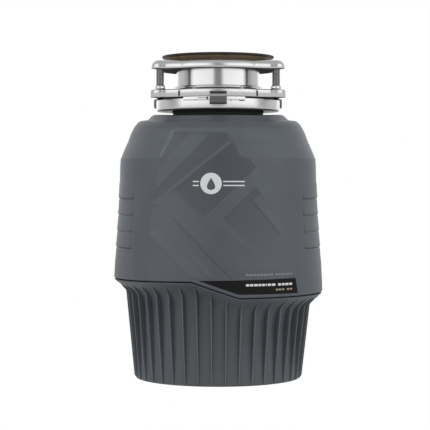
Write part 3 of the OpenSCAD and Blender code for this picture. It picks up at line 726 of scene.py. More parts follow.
def skinRows(radius, height, cosA, sinA):
    # points and faces of a closed skin round Z, one row for each radius and height
    rows, columns = radius.shape
    points = np.stack([radius * cosA, radius * sinA, height], axis=2).reshape(-1, 3) * mm
    faces = []
    for i in range(rows):
        j = (i + 1) % rows
        for k in range(columns):
            m = (k + 1) % columns
            faces.append((i * columns + k, j * columns + k, j * columns + m, i * columns + m))
    return points.tolist(), faces


def buildUpperShell():
    angles = shellAngles()
    columns = len(angles)
    top = [(48.0, 265.2), (48.0, 267.1), (48.4, 267.5)]
    top += [c for c in shoulderCorners[1:] if c[1] > 260.0]
    rowsAt = list(np.arange(259.6, casing["creaseZ"] + 0.3, -0.8)) + [casing["creaseZ"]]
    rowsAt += list(np.arange(casing["creaseZ"] - 0.5, casing["bandZ"], -0.72))
    lastRows = 44
    a = np.radians(angles)
    cosA, sinA = np.cos(a), np.sin(a)
    facing = -sinA
    deckDip = casing["deckDip"] * smoothStep(facing, 0.15, 0.95)
    radius, height, tone = [], [], []
    for r, z in top:
        radius.append(np.full(columns, r))
        height.append(z - deckDip * smoothStep(z, 252.0, 263.0))
        tone.append(np.zeros(columns))
    seam = seamHeight(106.0 * cosA)
    levels = [np.full(columns, z) for z in rowsAt]
    for k in range(1, lastRows + 1):
        t = k / lastRows
        levels.append(casing["bandZ"] + (seam + 0.5 - casing["bandZ"]) * t)
    for z in levels:
        r = wallRadius(z)
        x = r * cosA
        front = smoothStep(facing, 0.0, 0.1)
        pad = padMask(x, z) * front
        padR = np.minimum(99.9 + (casing["creaseZ"] - z) * 0.03, 100.2)
        r = r + pad * np.maximum(padR - r, 0)
        shade, relief = frontFacets(r * cosA, z, facing)
        opened = smoothStep(np.where(z > casing["creaseZ"], pad, 1.0), 0.4, 1.0)
        grip, gripShade = gripRelief(angles, z)
        fadeSeam = smoothStep(z - seam, 0.0, 4.0)
        r = r + relief * opened * fadeSeam + grip * (z < casing["gripTop"] + 3)
        edge = np.clip(1.2 - (z - seam), 0, 1.2)
        r = r - 0.45 * (edge / 1.2) ** 2
        radius.append(r)
        height.append(z - deckDip * smoothStep(z, 252.0, 263.0))
        # the tone holds painted light and shade: facet bands, grip groove shade and the bevel highlights
        tone.append(shade * opened + gripShade + paintedBevelLight(r * cosA, z, facing) * (z < 252.0))
    for inset, lift in ((1.6, -0.1), (2.5, 0.4), (2.5, 6.0)):
        radius.append(wallRadius(seam) - inset)
        height.append(seam + lift)
        tone.append(np.zeros(columns))
    for r, z in [(101.0, 118.0), (99.0, 140.0), (97.0, 200.0), (96.4, 220.0), (84.0, 250.0), (78.0, 257.5),
                 (66.0, 261.5), (56.0, 265.0)]:
        radius.append(np.full(columns, r))
        height.append(np.full(columns, z))
        tone.append(np.zeros(columns))
    radius, height, tone = np.array(radius), np.array(height), np.array(tone)
    points, faces = skinRows(radius, height, cosA, sinA)
    mesh = bpy.data.meshes.new("upperShell")
    mesh.from_pydata(points, [], faces)
    setAttribute(mesh, "tone", tone)
    onPanel = smoothStep(facing, 0.0, 0.1) * insideMask(radius * cosA, np.minimum(height, 245.0),
                                                        panelCorners, 2.0)
    setAttribute(mesh, "warmth", 1 - onPanel)
    mesh.materials.append(finishes["casing"])
    piece = linked("upperShell", mesh)
    closeAndTurnOut(piece, 16, merge=False)
    return piece


upperShell = buildUpperShell()
print("upper shell:", len(upperShell.data.polygons), "faces")
finishPiece(upperShell, "housing", "casing_grey", "upper_shell")


# Ribbed base

base = {
    "drumR": 86.0, "footR": 84.3, "wall": 2.5, "collarR": 105.7, "ribCount": 40, "ribFirst": 4.77,
    "ribThick": 1.3, "ribRoot": 1.9, "ribLow": 1.2, "kinkR": 94.0, "kinkDrop": 13.0, "footFillet": 1.2,
    "steps": 480, "ribTop": 98.6,
    "tipHighlight": 1.3,
}


def buildBaseDrum():
    # drum wall, flared underside of the collar, collar band and its groove, all following the seam
    steps = base["steps"]
    a = np.radians(np.arange(steps) * 360 / steps)
    cosA, sinA = np.cos(a), np.sin(a)
    seam = seamHeight(105.0 * cosA)
    drum, wall, fillet = base["footR"], base["wall"], base["footFillet"]
    inside = base["drumR"] - wall
    outer = [(inside - 0.3, 1.0), (inside + 0.2, 0.0), (drum - fillet, 0.0)]
    outer += [(drum - fillet * (1 - math.sin(math.radians(t))), fillet * (1 - math.cos(math.radians(t))))
              for t in (22.5, 45, 67.5, 90)]
    outer += [(drum + 0.2, 12.0), (drum + 0.6, 28.0), (drum + 1.1, 44.0), (drum + 1.5, 56.0)]
    band = [(86.6, -26.0), (87.6, -20.0), (89.6, -15.2), (92.6, -11.6), (96.0, -8.8), (99.6, -6.4),
            (102.2, -4.6),
            (103.6, -3.6), (104.7, -2.7), (base["collarR"], -1.9), (base["collarR"], -1.3),
            (base["collarR"] - 0.5, -0.95),
            (base["collarR"] - 2.2, -0.9), (base["collarR"] - 2.6, -1.6), (base["collarR"] - 2.8, -2.2),
            (drum + 4.0, -2.4), (drum + 1.0, -1.2), (inside, -1.0)]
    inner = [(inside, 60.0), (inside, 30.0)]
    radius = np.array([np.full(steps, r) for r, z in outer + band + inner])
    height = np.array([np.full(steps, z) for r, z in outer] + [seam + z for r, z in band]
                      + [np.full(steps, z) for r, z in inner])
    points, faces = skinRows(radius, height, cosA, sinA)
    return meshPiece("baseDrum", points, faces, finishes["base"], 32)


def buildOneRib():
    # a rib on the +X side of the drum, as tall as under the left of the seam
    top = base["ribTop"]
    drum = base["footR"] - 0.6
    kink = top - base["kinkDrop"] + 3.0
    side = [(base["footR"] + 0.9, base["ribLow"]), (base["footR"] + 1.35, base["ribLow"] + 1.2)]
    for t in (0.12, 0.3, 0.5, 0.7, 0.88, 0.97):
        side.append((base["footR"] + 1.2 + (base["kinkR"] - base["footR"] - 1.2) * t, kink * t))
    side += [(base["kinkR"] + 0.35, kink + 0.6), (base["kinkR"] + 1.5, kink + 1.9),
             (base["collarR"] - 4.6, top - 1.6), (base["collarR"] - 2.6, top)]
    half, root = base["ribThick"] / 2, base["ribRoot"] / 2
    points = []
    for r, z in side:
        section = [(drum, -root), (drum + 0.8, -root), (r - 1.0, -half), (r - 0.25, -half * 0.85),
                   (r, -half * 0.4), (r, half * 0.4), (r - 0.25, half * 0.85), (r - 1.0, half),
                   (drum + 0.8, root), (drum, root)]
        points += [(max(x, drum) * mm, y * mm, z * mm) for x, y in section]
    faces = quadBands(len(side), len(section)) + endCaps(len(side), len(section))
    rib = meshPiece("oneRib", points, faces, finishes["base"], 40)
    # painted highlight: the rib tips are painted lighter
    tones = []
    for vertex in rib.data.vertices:
        reach = np.interp(vertex.co.z / mm, [z for r, z in side], [r for r, z in side])
        tones.append(base["tipHighlight"] if vertex.co.x / mm > reach - 0.3 else 0.0)
    setAttribute(rib.data, "tone", tones)
    return rib


def geometryTree(name, inputs):
    tree = bpy.data.node_groups.new(name, "GeometryNodeTree")
    tree.interface.new_socket(name="Geometry", in_out="INPUT", socket_type="NodeSocketGeometry")
    for label, kind in inputs.items():
        tree.interface.new_socket(name=label, in_out="INPUT", socket_type="NodeSocket" + kind)
    tree.interface.new_socket(name="Geometry", in_out="OUTPUT", socket_type="NodeSocketGeometry")
    return tree, tree.nodes.new("NodeGroupInput").outputs, tree.nodes.new("NodeGroupOutput")


def applyTree(name, tree, values, material, sharpDeg=30):
    # runs a tree on an empty mesh and keeps the result as a plain piece
    carrier = linked(name + "Carrier", bpy.data.meshes.new(name + "Carrier"))
    modifier = carrier.modifiers.new(name, "NODES")
    modifier.node_group = tree
    for item in tree.interface.items_tree:
        if item.in_out == "INPUT" and item.name in values:
            modifier[item.identifier] = values[item.name]
    bpy.context.view_layer.update()
    piece = evaluatedMesh(name, carrier, sharpDeg)
    if not piece.data.materials:
        piece.data.materials.append(material)
    return piece


def finishTree(tree, geometry, sink, material):
    realize = addNode(tree, "GeometryNodeRealizeInstances", {0: geometry})
    paint = addNode(tree, "GeometryNodeSetMaterial", {"Material": material, 0: realize.outputs[0]})
    feed(tree, sink, {0: paint.outputs[0]})
    return tree


def objectShape(tree, socket):
    return addNode(tree, "GeometryNodeObjectInfo", {"Object": socket}).outputs["Geometry"]


def buildRibTree():
    # ribs round Z, each one stretched in height to reach the seam above it
    tree, source, sink = geometryTree("seamRibs", {
        "Rib": "Object", "Count": "Int", "First Angle": "Float", "Seam From": "Float", "Seam To": "Float",
        "Low Share": "Float", "Radius": "Float"})
    line = addNode(tree, "GeometryNodeMeshLine", {"Count": source["Count"], "Offset": (0, 0, 0)})
    index = tree.nodes.new("GeometryNodeInputIndex").outputs[0]
    step = mathNode(tree, "DIVIDE", 2 * math.pi, source["Count"])
    turn = mathNode(tree, "ADD", mathNode(tree, "MULTIPLY", index, step), source["First Angle"])
    x = mathNode(tree, "MULTIPLY", mathNode(tree, "COSINE", turn), source["Radius"])
    share = addNode(tree, "ShaderNodeMapRange", {
        "Value": x, "From Min": source["Seam From"], "From Max": source["Seam To"], "To Min": 1.0,
        "To Max": source["Low Share"]})
    place = addNode(tree, "GeometryNodeInstanceOnPoints", {
        "Points": line.outputs[0], "Instance": objectShape(tree, source["Rib"]),
        "Rotation": addNode(tree, "ShaderNodeCombineXYZ", {2: turn}).outputs[0],
        "Scale": addNode(tree, "ShaderNodeCombineXYZ", {0: 1.0, 1: 1.0, 2: share.outputs[0]}).outputs[0]})
    return finishTree(tree, place.outputs[0], sink, finishes["base"])


oneRib = buildOneRib()
ribs = applyTree("baseRibs", buildRibTree(), {
    "Rib": oneRib, "Count": base["ribCount"], "First Angle": math.radians(base["ribFirst"]),
    "Seam From": -26.0 * mm, "Seam To": 20.0 * mm, "Low Share": 0.843, "Radius": 100.0 * mm},
    finishes["base"], 40)
bpy.data.objects.remove(oneRib)
ribbedBase = joined("ribbedBase", [buildBaseDrum(), ribs], 34)
finishPiece(ribbedBase, "housing", "base_grey", "base_shell")
print("ribbed base:", len(ribbedBase.data.polygons), "faces")


# Sink mount: the pressed plates

mount = {
    "boltR": 67.0, "boltAngles": (210.0, 330.0, 90.0), "earAngles": (270.0, 30.0, 150.0), "points": 720,
    "tubeR": 42.5, "backupTop": 321.0,
    "backupR": 60.0, "backupLobe": 8.95, "backupLow": 312.5, "backupRound": 6.5, "backupWall": 2.0,
    "ringR": 62.5, "ringLobe": 9.95, "ringLow": 283.8, "ringTop": 291.5, "ringRound": 1.5, "ringWall": 2.0,
    "flankAngle": 20.5, "blend": 1.1,
}


def lobedOutline(discR, lobeR, inset=0.0):
    # disc with three lobes round the screws, its corners blended, pulled in by the inset
    count = mount["points"]
    angles = np.arange(count) * 360 / count
    off = np.min([np.abs((angles - a + 180) % 360 - 180) for a in mount["boltAngles"]], axis=0)
    t = np.radians(off)
    spread = math.radians(mount["flankAngle"])
    boltR = mount["boltR"]
    under = np.maximum(lobeR ** 2 - (boltR * np.sin(t)) ** 2, 0)
    lobe = np.where(boltR * np.sin(t) < lobeR, boltR * np.cos(t) + np.sqrt(under), 0)
    runX, runY = discR * math.cos(spread) - boltR, discR * math.sin(spread) - lobeR
    along = -(boltR * np.sin(t) - lobeR * np.cos(t)) / (runX * np.sin(t) - runY * np.cos(t))
    flank = (boltR + along * runX) * np.cos(t) + (lobeR + along * runY) * np.sin(t)
    flank = np.where((along >= 0) & (along <= 1) & (t < spread), flank, 0)
    radius = np.maximum(np.maximum(lobe, flank), discR)
    reach = int(4 * mount["blend"] * count / 360)
    weights = np.exp(-0.5 * (np.arange(-reach, reach + 1) * 360 / count / mount["blend"]) ** 2)
    weights /= weights.sum()
    wrapped = np.concatenate([radius[-reach:], radius, radius[:reach]])
    radius = np.convolve(wrapped, weights, mode="valid")
    a = np.radians(angles)
    outline = np.stack([radius * np.cos(a), radius * np.sin(a)], axis=1)
    return outline - outlineNormals(outline) * inset


def roundRing(radius):
    a = np.radians(np.arange(mount["points"]) * 360 / mount["points"])
    return np.stack([radius * np.cos(a), radius * np.sin(a)], axis=1)


def ringLoft(name, rings, material, sharpDeg=30):
    # rings of equal length at their heights, joined in a loop
    points = [(p[0] * mm, p[1] * mm, z * mm) for ring, z in rings for p in ring]
    return meshPiece(name, points, quadBands(len(rings), len(rings[0][0]), True), material, sharpDeg)


def dishRings(discR, lobeR, low, top, rounding, wall, holeR, raised=()):
    # section of a pressed dish: skirt up, rounded edge, top inwards, hole, and back along the inside
    rings = [(lobedOutline(discR, lobeR, 0.25), low), (lobedOutline(discR, lobeR), low + 0.4)]
    steps = 8
    for k in range(steps + 1):
        t = math.radians(90 * k / steps)
        rings.append((lobedOutline(discR, lobeR, rounding * (1 - math.cos(t))),
                      top - rounding * (1 - math.sin(t))))
    rings += [(roundRing(r), z) for r, z in raised]
    rings.append((roundRing(holeR), (raised[-1][1] if raised else top) - 0.4))
    rings.append((roundRing(holeR), top - wall))
    inner = max(rounding - wall, 0.4)
    for k in range(5):
        t = math.radians(90 - 90 * k / 4)
        rings.append((lobedOutline(discR, lobeR, wall + inner * (1 - math.cos(t))),
                      top - wall - inner * (1 - math.sin(t))))
    rings += [(lobedOutline(discR, lobeR, wall), low + 0.4), (lobedOutline(discR, lobeR, wall - 0.25), low)]
    return rings


def shadeInside(piece, below):
    # the hollow underside of a pressed plate gets the dark steel: painted shade
    mesh = piece.data
    mesh.materials.append(finishes["shadedSteel"])
    index = len(mesh.materials) - 1
    for face in mesh.polygons:
        x, y, z = face.center  # in metres
        inward = -(face.normal.x * x + face.normal.y * y) / max(math.hypot(x, y), 1e-9)
        if z < below * mm and math.hypot(x, y) > 0.048 and (inward > 0.35 or face.normal.z < -0.75):
            face.material_index = index


def buildBackupFlange():
    raised = [(50.5, 320.9), (46.5, 320.6)]
    rings = dishRings(mount["backupR"], mount["backupLobe"], mount["backupLow"], mount["backupTop"],
                      mount["backupRound"], mount["backupWall"], mount["tubeR"] + 0.5, raised)
    plate = ringLoft("backupPlate", rings, finishes["plated"], 34)
    pads = []
    for a in mount["boltAngles"]:
        # dimple where each screw's tip bears, seen from under the plate
        cup = turned("cup", [(0.0, 318.35), (3.4, 318.35), (5.2, 317.9, 0.4), (6.0, 318.6, 0.3),
                             (6.2, 319.2), (0.0, 319.2)],
                     finishes["plated"], 32)
        pads.append(placed(cup, turnZ(a, (mount["boltR"], 0, 0))))
    flange = joined("backupFlange", [plate] + pads, 34)
    shadeInside(flange, mount["backupTop"] - 0.4)
    return flange


def foldShadeStrip(angle):
    # a narrow dark strip standing in the hollow beside a lobe: painted shade of the fold
    outline = lobedOutline(mount["ringR"], mount["ringLobe"])
    at = int(round(angle * mount["points"] / 360)) % mount["points"]
    r = float(np.linalg.norm(outline[at]))
    strip = prism("fold", [(r - 1.2, -1.5), (r + 0.05, -1.2), (r + 0.12, 0.0), (r + 0.05, 1.2),
                           (r - 1.2, 1.5)],
                  mount["ringLow"] + 0.5, mount["ringTop"] - 1.6, finishes["shadedSteel"])
    return placed(strip, turnZ(angle))


def buildUpperRing():
    raised = [(54.0, 291.5), (49.8, 291.55), (48.2, 291.9), (47.0, 292.8), (46.4, 294.2), (46.15, 295.3),
              (45.8, 295.85), (45.0, 296.0), (43.6, 296.0)]
    rings = dishRings(mount["ringR"], mount["ringLobe"], mount["ringLow"], mount["ringTop"],
                      mount["ringRound"],
                      mount["ringWall"], mount["tubeR"] + 0.5, raised)
    parts = [ringLoft("ringPlate", rings, finishes["plated"], 34)]
    for a in mount["boltAngles"]:
        boss = turned("boss", [(4.02, 289.2), (4.02, 295.5), (4.7, 295.5, 0.5), (5.1, 294.6, 0.4),
                               (5.1, 292.6, 1.2),
                               (6.6, 291.4), (6.4, 290.9), (4.02, 289.2)], finishes["plated"], 40)
        parts.append(placed(boss, turnZ(a, (mount["boltR"], 0, 0))))
        for side in (-33, 33):
            stud = turned("stud", [(0.0, 291.0), (2.9, 291.0), (2.7, 292.4, 0.5), (1.9, 293.9, 0.6),
                                   (0.0, 294.1)],
                          finishes["plated"], 24)
            parts.append(placed(stud, turnZ(a + side, (51.5, 0, 0))))
    # hook skirt in the dark steel as painted shade in the gap, and its three ledges under the plate
    parts.append(turned("hook", [(55.5, 277.7, 0.3), (57.2, 277.7, 0.3), (57.2, 289.4), (55.5, 289.4)],
                        finishes["shadedSteel"], 160))
    # dark strips as painted shade of the folds where each lobe leaves the disc
    for a in mount["boltAngles"]:
        for side in (-1, 1):
            parts.append(foldShadeStrip(a + side * (mount["flankAngle"] + 1.2)))
    for a in mount["earAngles"]:
        parts.append(turned("ledge", [(57.0, 279.3, 0.2), (60.5, 279.3, 0.4), (60.5, 280.8, 0.4),
                                      (57.0, 280.8, 0.2)],
                            finishes["plated"], 24, 30, a - 12, 30))
    ring = joined("upperMountRing", parts, 34)
    shadeInside(ring, mount["ringTop"] - 0.4)
    return ring


finishPiece(buildBackupFlange(), "housing", "plated_steel", "backup_flange")
finishPiece(buildUpperRing(), "housing", "plated_steel", "upper_mount_ring")
print("mounting plates built")


# Sink flange and the soft ring under its lip

sinkFlange = turned("sinkFlange", [
    (41.0, 283.2), (41.3, 283.0), (42.2, 283.0), (42.5, 283.3), (42.5, 319.0, 6), (46.4, 324.0, 4),
    (49.2, 325.9, 1.5),
    (56.3, 326.35, 0.2), (56.45, 326.8, 0.2), (56.2, 327.35, 0.3), (54.5, 327.5, 2), (48.2, 327.1, 3),
    (45.0, 324.8, 4),
    (41.0, 319.5, 8)], finishes["stainless"], 200, 30)
finishPiece(sinkFlange, "housing", "stainless", "sink_flange")
# one gasket in two colours: the bead under the lip is painted darker as shade, the cone is tan
sinkGasket = joined("sinkGasket", [
    turned("cone", [(49.6, 321.05), (51.5, 321.05, 0.6), (54.4, 323.8, 3), (55.2, 324.5), (55.2, 325.9),
                    (49.6, 325.85)],
           finishes["gasketTan"], 200, 30),
    turned("bead", [(54.9, 324.45), (57.0, 325.7, 0.4), (57.15, 326.8, 0.3), (57.0, 327.3, 0.2),
                    (56.6, 327.3, 0.1),
                    (56.5, 326.3, 0.1), (54.9, 326.0)], finishes["gasketShaded"], 200, 30)], 30)
finishPiece(sinkGasket, "housing", "black_rubber", "sink_gasket")


# Threaded mounting screws, one tree for all three

screw = {"radius": 3.75, "pitch": 1.41, "threadDepth": 0.26, "threadLow": 296.0, "threadHigh": 317.6,
         "headR": 5.9, "headLow": 283.85, "headTop": 287.5, "tip": 318.3, "slotWidth": 1.6, "slotDepth": 1.3}


def buildScrewBlank():
    # shank with a filister head below, slotted across
    body = turned("screwBlank", [
        (0.0, screw["headLow"]), (4.6, screw["headLow"], 0.9), (screw["headR"], screw["headLow"] + 0.9, 0.5),
        (screw["headR"], screw["headTop"], 0.3), (screw["radius"] + 0.15, screw["headTop"], 0.3),
        (screw["radius"] + 0.15, screw["threadLow"] - 1.5), (screw["radius"], screw["threadLow"] - 0.6),
        (screw["radius"], screw["tip"] - 1.0), (2.6, screw["tip"]), (0.0, screw["tip"])],
        finishes["plated"], 36)
    half = screw["slotWidth"] / 2
    cutter = prism("slotCutter", [(-8, -half), (8, -half), (8, half), (-8, half)],
                   screw["headLow"] - 2, screw["headLow"] + screw["slotDepth"], finishes["plated"])
    return cutAway("screwBlankCut", body, [cutter])


def buildScrewTree():
    # a thread wound on the blank, then the whole screw set at its place
    tree, source, sink = geometryTree("threadedScrew", {
        "Blank": "Object", "Shank Radius": "Float", "Thread Depth": "Float", "Thread Start": "Vector",
        "Thread Length": "Float", "Turns": "Float", "Place": "Vector"})
    helix = addNode(tree, "GeometryNodeCurveSpiral", {
        "Resolution": 28, "Rotations": source["Turns"], "Start Radius": source["Shank Radius"],
        "End Radius": source["Shank Radius"], "Height": source["Thread Length"]})
    ridge = addNode(tree, "GeometryNodeCurvePrimitiveCircle",
                    {"Resolution": 4, "Radius": source["Thread Depth"]})
    sweep = addNode(tree, "GeometryNodeCurveToMesh", {
        "Fill Caps": True, "Curve": helix.outputs[0], "Profile Curve": ridge.outputs[0]})
    raised = addNode(tree, "GeometryNodeTransform", {
        "Geometry": sweep.outputs[0], "Translation": source["Thread Start"]})
    both = addNode(tree, "GeometryNodeJoinGeometry", {0: objectShape(tree, source["Blank"])})
    feed(tree, both, {0: raised.outputs[0]})
    moved = addNode(tree, "GeometryNodeTransform",
                    {"Geometry": both.outputs[0], "Translation": source["Place"]})
    return finishTree(tree, moved.outputs[0], sink, finishes["screwSteel"])


screwBlank = buildScrewBlank()
screwTree = buildScrewTree()
threadLength = screw["threadHigh"] - screw["threadLow"]
for letter, angle in zip("abc", mount["boltAngles"]):
    a = math.radians(angle)
    piece = applyTree("mountScrew_" + letter, screwTree, {
        "Blank": screwBlank, "Shank Radius": (screw["radius"] - 0.12) * mm,
        "Thread Depth": screw["threadDepth"] * mm,
        "Thread Start": (0, 0, screw["threadLow"] * mm), "Thread Length": threadLength * mm,
        "Turns": threadLength / screw["pitch"],
        "Place": (mount["boltR"] * math.cos(a) * mm, mount["boltR"] * math.sin(a) * mm, 0)},
        finishes["plated"])
    finishPiece(piece, "screw_" + letter, "plated_steel", "mount_screw_" + letter)
bpy.data.objects.remove(screwBlank)
print("mounting screws built")


# Lock ring with its three looped ears

lock = {"outer": 63.0, "inner": 61.5, "low": 271.0, "top": 281.9, "webR": 47.3, "lowRound": 1.9,
        "collarFrom": -33.0, "collarTo": 25.0, "collarR": 63.25, "collarTop": 283.35,
        "earHalf": 8.4, "earOut": 72.2, "earLow": 275.5, "earFrontTop": 285.2, "earBackTop": 288.5,
        "strap": 1.6}


def blockOf(name, corners, half, material):
    # an outline in radius and height, pulled out to both sides of the -Y direction
    outline = filleted(corners, 5)
    sides = (-half, -half + 0.25, half - 0.25, half)
    points = [(side * mm, -r * mm, z * mm) for side in sides for r, z in outline]
    faces = quadBands(len(sides), len(outline)) + endCaps(len(sides), len(outline))
    return meshPiece(name, points, faces, material, 30)


def buildLockRing():
    parts = [turned("band", [
        (lock["webR"], lock["low"], 0.2), (lock["outer"], lock["low"], lock["lowRound"]),
        (lock["outer"], lock["top"], 0.35),
        (lock["inner"], lock["top"], 0.2), (lock["inner"], lock["low"] + 1.5, 0.8),
        (lock["webR"], lock["low"] + 1.5, 0.2)],
        finishes["plated"], 240)]
    for a in mount["earAngles"]:
        # the lips are in the dark steel: painted shade in the gap under the upper ring
        parts.append(turned("lip", [(57.6, 280.7, 0.3), (61.6, 280.7), (61.6, 281.8), (57.6, 281.8, 0.3)],
                            finishes["shadedSteel"], 16, 30, a - 9, 18))
        parts.append(turned("collar", [
            (lock["outer"] - 0.4, 279.5), (lock["outer"] + 0.02, 279.3, 0.2), (lock["collarR"], 280.6, 0.6),
            (lock["collarR"], lock["collarTop"], 0.25), (lock["outer"] - 0.05, lock["collarTop"], 0.1)],
            finishes["plated"], 72, 30, a + lock["collarFrom"], lock["collarTo"] - lock["collarFrom"]))
        ear = [
            (lock["outer"] - 0.3, lock["earLow"]), (lock["earOut"], lock["earLow"], 2.2),
            (lock["earOut"], lock["earFrontTop"], 1.4), (lock["outer"] + 1.0, lock["earFrontTop"] + 1.3, 0.8),
            (lock["outer"] + 1.0, lock["earBackTop"], 0.5), (lock["outer"] - 0.1, lock["earBackTop"], 0.3),
            (lock["outer"] - 0.1, lock["earFrontTop"] - 0.7, 0.2),
            (lock["earOut"] - lock["strap"], lock["earFrontTop"] - 1.9, 0.8),
            (lock["earOut"] - lock["strap"], lock["earLow"] + lock["strap"], 1.0),
            (lock["outer"] - 0.3, lock["earLow"] + lock["strap"])]
        parts.append(placed(blockOf("ear", ear, lock["earHalf"], finishes["earSteel"]), turnZ(a + 90)))
        # dark inlays laid on the ring beside and above the ear where it has slots; the wide one above the ear
        # is painted shadow under the upper ring
        for x, z, halfWide, halfHigh, reach in (
                (0.0, 287.15, 7.4, 0.85, 1.06), (-15.6, 281.9, 4.6, 0.28, 0.66),
                (-10.6, 281.5, 0.8, 1.3, 0.66),
                (12.6, 279.7, 0.7, 0.7, 0.06), (-22.5, 279.9, 1.4, 0.2, 0.32), (23.2, 279.4, 2.6, 0.4, 0.35)):
            r = lock["outer"] + reach
            slot = blockOf("slot", [(0.0, z - halfHigh, 0.15), (0.35, z - halfHigh, 0.15),
                                    (0.35, z + halfHigh, 0.15),
                                    (0.0, z + halfHigh, 0.15)], halfWide, finishes["rubber"])
            lean = math.degrees(math.asin(x / r))
            placed(slot, shift(0, -(r - 0.31), 0))
            parts.append(placed(slot, turnZ(a + 90 + lean)))
        strip = blockOf("earEdge", [(lock["outer"] + 6.4, lock["earFrontTop"] - 0.6),
                                    (lock["earOut"] + 0.06, lock["earFrontTop"] - 2.2),
                                    (lock["earOut"] + 0.06, lock["earFrontTop"] - 0.1, 0.3),
                                    (lock["outer"] + 6.4, lock["earFrontTop"] + 0.5)],
                        lock["earHalf"] - 0.2, finishes["plated"])
        parts.append(placed(strip, turnZ(a + 90)))
    return joined("lockRing", parts, 34)


finishPiece(buildLockRing(), "lock_ring", "plated_steel", "lock_ring")
print("lock ring built")


# Rubber of the mount

mountGasket = turned("mountGasket", [
    (38.0, 274.5), (55.2, 274.5, 0.8), (55.2, 285.7, 1.6), (51.0, 285.7, 0.5), (50.4, 285.2, 0.4),
    (47.4, 285.2, 0.4),
    (46.8, 285.7, 0.5), (42.7, 285.7, 0.4), (42.7, 280.4, 0.3), (38.0, 280.4, 0.5)], finishes["rubber"], 160)
finishPiece(mountGasket, "housing", "black_rubber", "mount_gasket")
neckBoot = turned("neckBoot", [
    (43.7, 263.6, 0.3), (46.6, 263.6, 0.6), (46.1, 268.9, 0.5), (46.8, 270.2, 0.6), (46.3, 271.4, 0.5),
    (46.75, 272.9, 0.5),
    (43.7, 272.9, 0.3)], finishes["rubber"], 160)
finishPiece(neckBoot, "housing", "black_rubber", "neck_boot")


def buildBaffle():
    # a lifted-out cup with five drooping flaps round the middle hole
    flaps = {"count": 5, "slitDeg": 2.4, "holeR": 9.0, "hingeR": 35.4}
    parts = [turned("cup", [
        (35.6, 268.6), (37.6, 268.6, 0.6), (37.6, 280.4, 0.4), (40.6, 280.7, 0.5), (40.6, 282.4, 0.6),
        (36.4, 282.4, 0.8),
        (35.6, 281.0, 0.8)], finishes["rubber"], 140)]
    span = 360 / flaps["count"]
    for k in range(flaps["count"]):
        parts.append(turned("flap", [
            (flaps["holeR"], 267.55, 0.5), (15.0, 267.6), (24.0, 268.0), (31.0, 268.6), (36.4, 268.9),
            (36.4, 270.6, 0.4),
            (31.0, 270.1), (24.0, 269.5), (15.0, 269.1), (flaps["holeR"], 269.05, 0.5)], finishes["rubber"],
            16, 30,
            k * span + flaps["slitDeg"] / 2, span - flaps["slitDeg"]))
        parts.append(turned("flapRib", [(17.0, 269.0), (33.0, 269.9), (33.0, 271.2, 0.8), (17.0, 269.9, 0.6)],
                            finishes["rubber"], 3, 30, (k + 0.5) * span - 1.2, 2.4))
    return joined("splashBaffle", parts, 34)


finishPiece(buildBaffle(), "baffle", "black_rubber", "splash_baffle")
print("mount rubber built")


# Printed label and round badge, both laid on the wall of the casing

label = {"corners": ((19.4, 91.2), (78.0, 90.6), (75.6, 105.6), (-18.6, 104.4)), "lift": 0.32, "sink": 0.5,
         "edge": 0.35,
         "across": 90, "up": 10}
marks = {"rowZ": 100.1, "rowHigh": 3.3, "rowRight": 72.0, "smallZ": 95.2, "smallHigh": 2.6, "lineZ": 109.9,
         "lineHigh": 2.7,
         "wide": (3.0, 3.4, 3.4, 2.4, 3.2, 1.2, 3.4, 3.4, 0, 3.0, 2.6, 3.2, 3.0),
         "smallWide": (2.2, 2.2, 2.4, 0, 2.4, 2.2),
         "lineWide": (2.6, 2.8, 2.8, 2.6, 2.8, 2.4, 2.4, 2.6, 0, 2.2, 2.4, 2.4, 1.0, 2.4, 2.2), "gap": 0.75}


def layOnWall(name, corners, lift, sink, material, across=12, up=4, edge=0.0):
    # a plate bent onto the front wall, its four corners anticlockwise in X and Z from the lower left
    (ax, az), (bx, bz), (cx, cz), (dx, dz) = corners
    layers = [(0.0, -sink), (0.0, lift - edge * 0.7), (edge, lift)] if edge > 0 else [(0.0, -sink),
            (0.0, lift)]
    points, faces = [], []
    rows, columns = up + 1, across + 1
    for inset, off in layers:
        for i in range(rows):
            for k in range(columns):
                u, v = k / across, i / up
                x = (1 - v) * ((1 - u) * ax + u * bx) + v * ((1 - u) * dx + u * cx)
                z = (1 - v) * ((1 - u) * az + u * bz) + v * ((1 - u) * dz + u * cz)
                if i in (0, up):
                    z += inset * (1 if i == 0 else -1)
                if k in (0, across):
                    x += inset * (1 if k == 0 else -1)
                r = float(wallRadius(z)) + off
                a = math.asin(max(-1.0, min(1.0, x / r)))
                points.append((r * math.sin(a) * mm, -r * math.cos(a) * mm, z * mm))
    size = rows * columns

    def border(layer):
        ring = [(0, k) for k in range(columns)] + [(i, across) for i in range(1, rows)]
        ring += [(up, k) for k in range(across - 1, -1, -1)] + [(i, 0) for i in range(up - 1, 0, -1)]
        return [layer * size + i * columns + k for i, k in ring]

    top = len(layers) - 1
    for layer in (0, top):
        for i in range(up):
            for k in range(across):
                start = layer * size + i * columns + k
                faces.append((start, start + 1, start + columns + 1, start + columns))
    for layer in range(top):
        low, high = border(layer), border(layer + 1)
        for i in range(len(low)):
            j = (i + 1) % len(low)
            faces.append((low[i], low[j], high[j], high[i]))
    return meshPiece(name, points, faces, material, 40)


def markRow(right, z, high, widths, gap, material, lift):
    # a broken rule ending at the right, standing in for a line of print
    parts = []
    x = right
    for wide in reversed(widths):
        if wide > 0:
            low, top = z - high * 0.32, z + high * 0.32
            parts.append(layOnWall("bar", ((x - wide, low), (x, low), (x, top), (x - wide, top)), lift, 0.3,
                                   material, 2, 1))
        x -= max(wide, 1.2) + gap
    return parts


